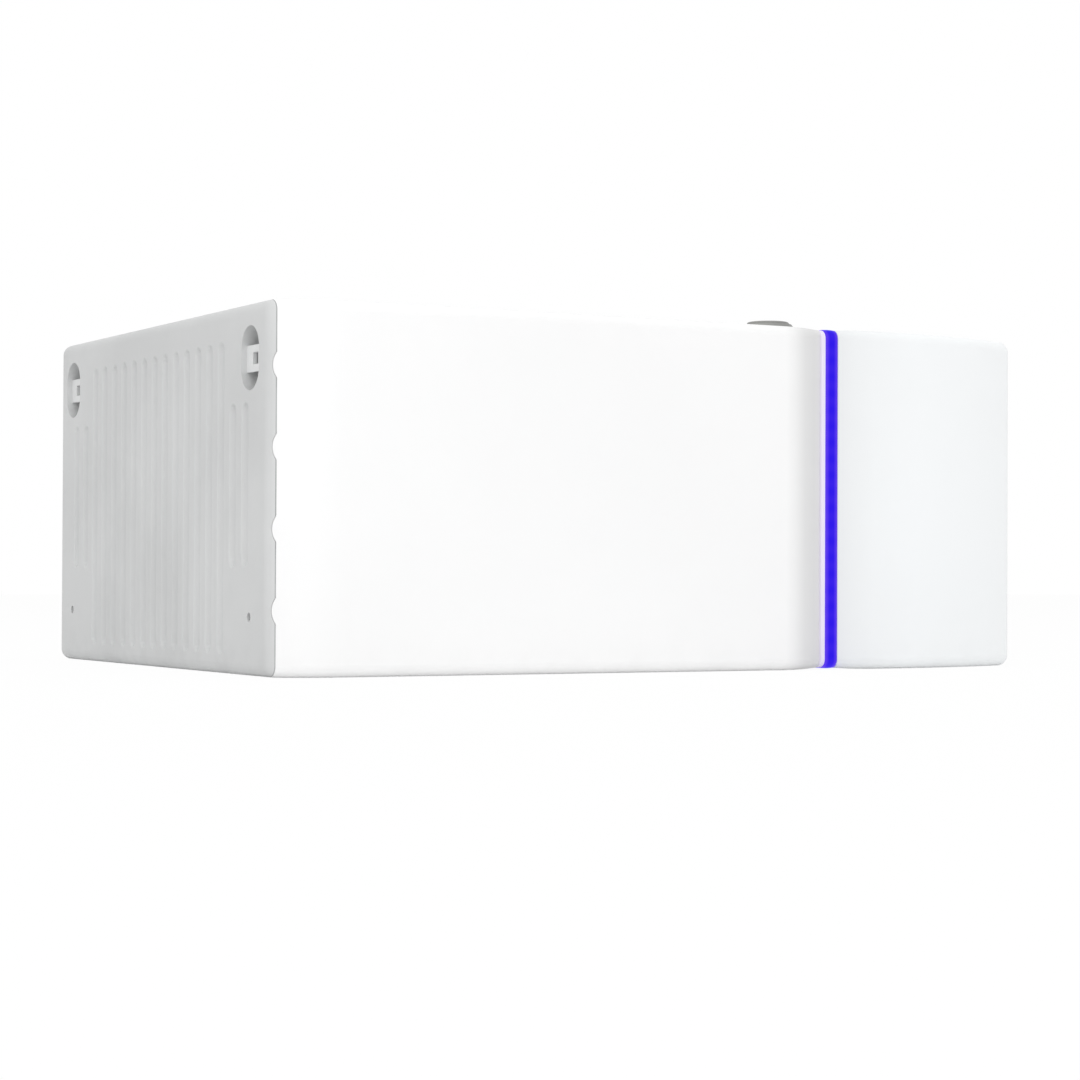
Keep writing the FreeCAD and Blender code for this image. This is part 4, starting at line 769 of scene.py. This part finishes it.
def banded(section: np.ndarray, low: Vector, high: Vector, corner: float, steps: int = PATH_STEPS) -> np.ndarray:
    """Carry a closed section round a rounded rectangle that stands across the object.

    Point (i, j) is the path point j less the path's outward normal times the section's inset i, at the section's
    depth i. The path's corner k turns about its centre from k quarter turns to the next.

    Args:
        section: Inset from the outer face and place along Y of each section point.
        low: Lowest corner of the band.
        high: Highest corner of the band.
        corner: Radius of the rectangle's corners.
        steps: Points on each corner.

    Returns:
        The points, by section point and path point.
    """
    angle = (np.arange(4)[:, None] + np.linspace(0.0, 1.0, steps)[None, :]) * np.pi / 2.0
    half_x, half_z = (high.x - low.x) / 2.0 - corner, (high.z - low.z) / 2.0 - corner
    centre_x = (high.x + low.x) / 2.0 + half_x * np.array([1.0, -1.0, -1.0, 1.0])[:, None]
    centre_z = (high.z + low.z) / 2.0 + half_z * np.array([1.0, 1.0, -1.0, -1.0])[:, None]
    normal_x, normal_z = np.cos(angle).ravel(), np.sin(angle).ravel()
    path_x = (centre_x + corner * np.cos(angle)).ravel()
    path_z = (centre_z + corner * np.sin(angle)).ravel()
    inset = section[:, :1]
    depth = section[:, 1:] * np.ones_like(path_x)
    return np.stack([path_x - inset * normal_x, depth, path_z - inset * normal_z], axis=-1)


def mesh_object(name: str, points: np.ndarray, wrap_rows: bool) -> bpy.types.Object:
    """Make an object of a grid of points, with its poles merged, its faces outwards and its sharp edges marked.

    Args:
        name: The object's name.
        points: The grid, by row, column and coordinate.
        wrap_rows: Whether the rows close into a loop.

    Returns:
        The object, at the origin.
    """
    mesh = bpy.data.meshes.new(name)
    faces = grid_quads(points.shape[0], points.shape[1], wrap_rows)
    mesh.from_pydata(points.reshape(-1, 3).tolist(), [], faces.tolist())
    shape = bmesh.new()
    shape.from_mesh(mesh)
    bmesh.ops.remove_doubles(shape, verts=shape.verts, dist=MERGE_DISTANCE)
    bmesh.ops.recalc_face_normals(shape, faces=shape.faces)
    shape.to_mesh(mesh)
    shape.free()
    mesh.shade_smooth()
    mesh.set_sharp_from_angle(angle=SHARP_ANGLE)
    item = bpy.data.objects.new(name, mesh)
    bpy.context.scene.collection.objects.link(item)
    return item


# ---------------------------------------------------------------- workshop


class Workshop:
    """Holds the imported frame, mixes each finish once, and puts finished pieces in their nodes' places."""

    def __init__(self, frame: Mapping[str, Any]) -> None:
        """Keep the frame's nodes and start with nothing mixed."""
        self.nodes: Mapping[str, bpy.types.Object] = frame["nodes"]
        self.mixed: dict[str, bpy.types.Material] = {}

    def dress(self, item: bpy.types.Object, finish: Any) -> None:
        """Put a finish on an object in place of what it had.

        Args:
            item: The object.
            finish: The finish, which is built the first time it is used.
        """
        if finish.name not in self.mixed:
            self.mixed[finish.name] = finish.material()
        item.data.materials.clear()
        item.data.materials.append(self.mixed[finish.name])
        LOG.info("%s wears %s", item.name, finish.name)

    def dress_all(self, finishes: Mapping[str, Any]) -> None:
        """Dress CAD nodes by name."""
        for name, finish in finishes.items():
            self.dress(self.nodes[name], finish)

    def stand_in(self, item: bpy.types.Object, node: str, finish: Any) -> None:
        """Dress a piece and let it stand for a CAD node on that node's body.

        Args:
            item: The modelled piece.
            node: The node it stands for.
            finish: The piece's finish.
        """
        self.dress(item, finish)
        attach(item, body_of(self.nodes[node])[0])
        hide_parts(node)


# ---------------------------------------------------------------- sub-assemblies


@dataclass
class Casing:
    """The casting, wrap shell, frame and front cap, with their seals, screws and hook plates."""

    finishes: dict[str, Any] = field(default_factory=lambda: {
        "rear_heat_sink": CASTING_GREY,
        "wrap_shell": WHITE_LACQUER_PAINTED_SHADE,
        "rear_gasket": SEAL_GREY,
        "casting_screws": ZINC_SCREW,
        "mid_frame": PALE_RIM_PAINTED_LED_LIGHT,
        "front_gasket": SEAL_GREY,
        "front_cap": CAP_WHITE_PAINTED_SHADE,
        "front_cap_screws": ZINC_SCREW,
        "hook_plate_left": HOOK_PAINT,
        "hook_plate_right": HOOK_PAINT,
    })

    def build(self, shop: Workshop) -> None:
        """Dress the casing's nodes."""
        shop.dress_all(self.finishes)


@dataclass
class LightBand:
    """The lit ring between the shell and the front cap, and its strips of lights."""

    deep: float = 0.0062
    corner: float = 0.0071
    crown: float = 0.0003
    edge: float = 0.0006
    edge_steps: int = 4
    core: Colour = linear(44, 20, 232)
    glow: Colour = linear(96, 62, 236)

    def section(self, low: Vector, high: Vector) -> np.ndarray:
        """Give the band's section: a rounded strip whose outer face is crowned.

        The outer face's inset is the crown's height times (2 t - 1)^2, where t runs from 0 to 1 across it.

        Args:
            low: Lowest corner of the band.
            high: Highest corner of the band.

        Returns:
            Inset and Y of each point, as a loop.
        """
        share = np.linspace(0.0, 1.0, BEND_STEPS)
        outer = np.stack([self.crown * (2.0 * share - 1.0) ** 2, low.y + share * (high.y - low.y)], axis=1)
        inner = np.array([[self.deep, high.y], [self.deep, low.y]])
        return softened(np.vstack([outer, inner]), self.edge, True, self.edge_steps)

    def build(self, shop: Workshop) -> None:
        """Make the band and dress it and its light strips."""
        low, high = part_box("light_ring")
        points = banded(self.section(low, high), low, high, self.corner)
        finish = Glow("violet_guide", self.core, self.glow, (low.y + high.y) / 2.0, (high.y - low.y) / 2.0)
        shop.stand_in(mesh_object("light_band", points, True), "light_ring", finish)
        shop.dress_all({"led_strips": BOARD_WHITE})


@dataclass
class PowerButton:
    """The push button in the top, in its bezel, with the parts behind it."""

    skirt: float = 0.0022
    lip_tall: float = 0.0025
    lip_drop: float = 0.0020
    roof: float = 0.0030
    stem: float = 0.0025
    dish: float = 0.0005
    cap_radius: float = 0.01562
    cap_round: float = 0.0018
    lip_radius: float = 0.0162
    bezel_bore: float = 0.0157
    bezel_lip: float = 0.0172
    relief: float = 0.0164
    barrel: float = 0.0172
    flange_sink: float = 0.0008
    edge: float = 0.0004
    edge_steps: int = 5
    dish_steps: int = 10
    wire: float = 0.0006
    turns: int = 6
    travel: float = 0.0025
    finishes: dict[str, Any] = field(default_factory=lambda: {
        "button_nut": BLACK_MOULDED,
        "button_switch": BLACK_MOULDED,
        "button_board": GREEN_BOARD,
    })

    def cap(self, top: float) -> bpy.types.Object:
        """Make the cap: a shallow dished crown with a skirt, a keeping lip and a stem.

        The dish's depth is the dish times (1 - (r / rim r)^2), where the rim is the crown's highest ring.

        Args:
            top: Height of the top face of the casing.

        Returns:
            The cap.
        """
        low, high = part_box("button_cap")
        rim = self.cap_radius - self.cap_round
        radius = np.linspace(0.0, rim, self.dish_steps)
        crown = np.stack([radius, high.z - self.dish * (1.0 - (radius / rim) ** 2)], axis=1)
        bend = np.linspace(0.0, np.pi / 2.0, BEND_STEPS)[1:]
        shoulder = np.stack([rim + self.cap_round * np.sin(bend),
                             high.z - self.cap_round * (1.0 - np.cos(bend))], axis=1)
        lip_top = top - self.lip_drop
        lip_foot = lip_top - self.lip_tall
        bore = self.cap_radius - self.skirt
        rest = np.array([
            [self.cap_radius, lip_top], [self.lip_radius, lip_top], [self.lip_radius, lip_foot], [bore, lip_foot],
            [bore, high.z - self.roof], [self.stem, high.z - self.roof], [self.stem, low.z], [0.0, low.z],
        ])
        return self.centred("button_crown", np.vstack([crown, shoulder, rest]), low, high, False)

    def bezel(self, top: float) -> bpy.types.Object:
        """Make the bezel: a sloping flange round the bore, with its barrel.

        Args:
            top: Height of the top face of the casing.

        Returns:
            The bezel.
        """
        low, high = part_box("button_bezel")
        flange = (high.x - low.x) / 2.0
        corners = np.array([
            [self.bezel_bore, high.z], [self.bezel_lip, high.z], [flange, top], [flange, top - self.flange_sink],
            [self.barrel, top - self.flange_sink], [self.barrel, low.z], [self.relief, low.z],
            [self.relief, top - self.lip_drop], [self.bezel_bore, top - self.lip_drop],
        ])
        return self.centred("button_surround", softened(corners, self.edge, True, self.edge_steps), low, high,
                            True)

    def spring(self) -> bpy.types.Object:
        """Make the return spring.

        Ring k lies round the helix point (R cos t, R sin t, rise t / full turn), in the upright plane through the
        axis, and its point i is w cos a outwards and w sin a up; w is 0 at both ends, which closes them.

        Returns:
            The spring.
        """
        low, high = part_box("button_spring")
        coil = (high.x - low.x) / 2.0 - self.wire
        full = 2.0 * np.pi * self.turns
        turn = np.concatenate([[0.0], np.linspace(0.0, full, COIL_STEPS * self.turns + 1), [full]])[:, None]
        thick = np.full_like(turn, self.wire)
        thick[[0, -1]] = 0.0
        ring = np.linspace(0.0, 2.0 * np.pi, WIRE_STEPS, endpoint=False)
        reach = coil + thick * np.cos(ring)
        rise = low.z + self.wire + (high.z - low.z - 2.0 * self.wire) * turn / full + thick * np.sin(ring)
        centre = (low + high) / 2.0
        points = np.stack([centre.x + reach * np.cos(turn), centre.y + reach * np.sin(turn), rise], axis=-1)
        return mesh_object("return_spring", points, False)

    def centred(self, name: str, profile: np.ndarray, low: Vector, high: Vector, loop: bool) -> bpy.types.Object:
        """Turn a profile round the button's axis.

        Args:
            name: The piece's name.
            profile: Radius and height of each point.
            low: Lowest corner of the node it stands for.
            high: Highest corner of that node.
            loop: Whether the profile is closed.

        Returns:
            The piece.
        """
        base = Vector(((low.x + high.x) / 2.0, (low.y + high.y) / 2.0, 0.0))
        return mesh_object(name, turned(profile, base, Axis.Z), loop)

    def build(self, shop: Workshop) -> None:
        """Make the cap and the bezel and dress the whole button."""
        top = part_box("wrap_shell")[1].z
        shop.stand_in(self.bezel(top), "button_bezel", BUTTON_GREY)
        shop.stand_in(self.cap(top), "button_cap", BUTTON_GREY)
        spring = self.spring()
        shop.stand_in(spring, "button_spring", ZINC_SCREW)
        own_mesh(spring)
        shop.dress_all(self.finishes)


@dataclass
class SideBay:
    """The connector bay in the side, with its sockets, stud, vent and isolator."""

    lobes: int = 18
    lobe_deep: float = 0.0007
    socket_bore: float = 0.0085
    socket_floor: float = 0.0030
    pin: float = 0.0030
    pin_tall: float = 0.0080
    edge: float = 0.0006
    finishes: dict[str, Any] = field(default_factory=lambda: {
        "connector_bay": BAY_GREY,
        "data_socket": BLACK_MOULDED,
        "earth_stud": BRASS_PART,
        "vent_plug": BLACK_MOULDED,
        "isolator_body": BLACK_MOULDED,
        "isolator_knob": RED_MOULDED,
    })

    def socket(self, node: str) -> bpy.types.Object:
        """Make a power socket: a fluted shroud with a domed pin in it.

        Args:
            node: The socket's node.

        Returns:
            The socket.
        """
        low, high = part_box(node)
        outer = (high.y - low.y) / 2.0
        tall = high.x - low.x
        corners = np.array([
            [0.0, self.pin_tall], [self.pin, self.pin_tall], [self.pin, self.socket_floor],
            [self.socket_bore, self.socket_floor], [self.socket_bore, tall], [outer, tall], [outer, 0.0], [0.0, 0.0],
        ])
        base = Vector((low.x, (low.y + high.y) / 2.0, (low.z + high.z) / 2.0))
        points = turned(softened(corners, self.edge), base, Axis.X, self.lobes, self.lobe_deep)
        return mesh_object(f"{node}_shroud", points, False)

    def build(self, shop: Workshop) -> None:
        """Make the power sockets and dress the bay."""
        for node in ("power_socket_left", "power_socket_right"):
            shop.stand_in(self.socket(node), node, BLACK_MOULDED)
        shop.dress_all(self.finishes)


@dataclass
class PowerStage:
    """The circuit boards and power parts inside the casing."""

    finishes: dict[str, Any] = field(default_factory=lambda: {
        "equipment_shelf": SHEET_ZINC,
        "bms_board": GREEN_BOARD,
        "board_standoffs": BRASS_PART,
        "contactor": BLACK_MOULDED,
        "main_fuse": CERAMIC,
        "fuse_holders": BLACK_MOULDED,
        "transformer_core": CORE_SHEETS,
        "transformer_coil": COIL_TURNS,
        "power_board": GREEN_BOARD,
        "power_modules": BLACK_MOULDED,
        "link_capacitors": CAN_SLEEVE,
        "line_choke": COPPER_TURNS,
        "control_board": GREEN_BOARD,
    })

    def build(self, shop: Workshop) -> None:
        """Dress the power stage's nodes."""
        shop.dress_all(self.finishes)


@dataclass
class BatteryPack:
    """The cells with their tray, rods, busbars and end plates."""

    cell_count: int = 16
    finishes: dict[str, Any] = field(default_factory=lambda: {
        "cell_tray": SHEET_ZINC,
        "tie_rods": ZINC_SCREW,
        "busbars": COPPER_BAR,
        "end_plate_left": MILLED_PLATE,
        "end_plate_right": MILLED_PLATE,
    })

    def build(self, shop: Workshop) -> None:
        """Dress the pack's nodes."""
        shop.dress_all(self.finishes)
        shop.dress_all({f"cell_{number:02d}": BLUE_FILM for number in range(1, self.cell_count + 1)})


# ---------------------------------------------------------------- studio


@dataclass(frozen=True)
class SoftBox:
    """A square soft lamp, placed from the object's middle."""

    name: str
    offset: Colour
    size: float
    power: float

    def hang(self, middle: Vector) -> None:
        """Hang the lamp so that it points at the object's middle."""
        data = bpy.data.lights.new(self.name, "AREA")
        data.shape = "SQUARE"
        data.size = self.size
        data.energy = self.power
        lamp = bpy.data.objects.new(self.name, data)
        lamp.location = middle + Vector(self.offset)
        lamp.rotation_euler = (-Vector(self.offset)).to_track_quat("-Z", "Y").to_euler()
        bpy.context.scene.collection.objects.link(lamp)


@dataclass
class Studio:
    """Camera, floor and light."""

    lens: float = 87.43
    sensor: float = 36.0
    camera_out: float = 1.5816
    camera_back: float = 0.6646
    camera_rise: float = 0.0690
    yaw: float = math.radians(-28.53)
    pitch: float = 0.0130
    roll: float = 0.0042
    floor_half: float = 6.0
    floor_share: float = 0.95
    floor_grey: float = 0.95
    view_far: float = 50.0
    world_strength: float = 0.74
    lamps: tuple[SoftBox, ...] = (
        SoftBox("key_box", (-2.6, 1.4, 1.2), 2.0, 20.0),
        SoftBox("top_box", (0.0, 0.0, 2.6), 2.4, 14.0),
    )

    def camera(self, low: Vector, high: Vector) -> None:
        """Stand the camera off the near rear corner.

        Its right, up and back directions come from the heading, the tilt and the roll.

        Args:
            low: Lowest corner of the object.
            high: Highest corner of the object.
        """
        data = bpy.data.cameras.new("view_camera")
        data.lens = self.lens
        data.sensor_width = self.sensor
        data.clip_end = self.view_far
        level = Vector((math.cos(self.yaw), math.sin(self.yaw), 0.0))
        side = Vector((level.y, -level.x, 0.0))
        ahead = level * math.cos(self.pitch) + Vector((0.0, 0.0, math.sin(self.pitch)))
        over = side.cross(ahead)
        right = side * math.cos(self.roll) + over * math.sin(self.roll)
        over = right.cross(ahead)
        turn = Matrix((right, over, -ahead)).transposed().to_4x4()
        camera = bpy.data.objects.new("view_camera", data)
        camera.matrix_world = Matrix.Translation((low.x - self.camera_out, high.y + self.camera_back,
                                                  low.z + self.camera_rise)) @ turn
        bpy.context.scene.collection.objects.link(camera)
        bpy.context.scene.camera = camera

    def floor(self, height: float) -> None:
        """Lay a plain pale floor, which camera, mirror and glass rays see as nearly white.

        Args:
            height: Height of the floor.
        """
        mesh = bpy.data.meshes.new("floor")
        half = self.floor_half
        corners = [(-half, -half, height), (half, -half, height), (half, half, height), (-half, half, height)]
        mesh.from_pydata(corners, [], [(0, 1, 2, 3)])
        floor = bpy.data.objects.new("floor", mesh)
        bpy.context.scene.collection.objects.link(floor)
        recipe = Recipe("floor_white")
        plain = recipe.add("ShaderNodeBsdfDiffuse", {}, {"Color": (*grey(self.floor_grey), 1.0)}).out()
        white = recipe.add("ShaderNodeEmission", {}, {"Color": (1.0, 1.0, 1.0, 1.0), "Strength": 1.0}).out()
        seen = recipe.seen_as_white() * self.floor_share
        mixed = recipe.add("ShaderNodeMixShader", {}, {0: seen, 1: plain, 2: white}).out()
        recipe.add("ShaderNodeOutputMaterial", {}, {"Surface": mixed})
        mesh.materials.append(recipe.material)
        floor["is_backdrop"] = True

    def sky(self) -> None:
        """Light everything evenly, and show plain white behind the object."""
        world = bpy.data.worlds.new("studio")
        world.use_nodes = True
        world.node_tree.nodes.clear()
        tree = Tree(world.node_tree)
        shades = [tree.add("ShaderNodeBackground", {}, {"Color": (1.0, 1.0, 1.0, 1.0), "Strength": strength}).out()
                  for strength in (self.world_strength, 1.0)]
        mixed = tree.add("ShaderNodeMixShader", {}, {0: tree.seen_as_white(), 1: shades[0], 2: shades[1]}).out()
        tree.add("ShaderNodeOutputWorld", {}, {"Surface": mixed})
        bpy.context.scene.world = world

    def build(self, low: Vector, high: Vector) -> None:
        """Set up camera, floor and light round the object's box.

        Args:
            low: Lowest corner of the object.
            high: Highest corner of the object.
        """
        middle = (low + high) / 2.0
        self.camera(low, high)
        self.floor(low.z)
        self.sky()
        for lamp in self.lamps:
            lamp.hang(middle)
        bpy.context.scene.view_settings.view_transform = "Standard"


# ---------------------------------------------------------------- the whole


def main() -> None:
    """Load the frame, build and dress every sub-assembly, and set up the studio."""
    logging.basicConfig(level=logging.INFO, format="%(name)s: %(message)s")
    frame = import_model()
    cad_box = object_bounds()
    shop = Workshop(frame)
    for assembly in (Casing(), LightBand(), PowerButton(), SideBay(), PowerStage(), BatteryPack()):
        assembly.build(shop)
    Studio().build(*cad_box)


if __name__ == "__main__":
    main()
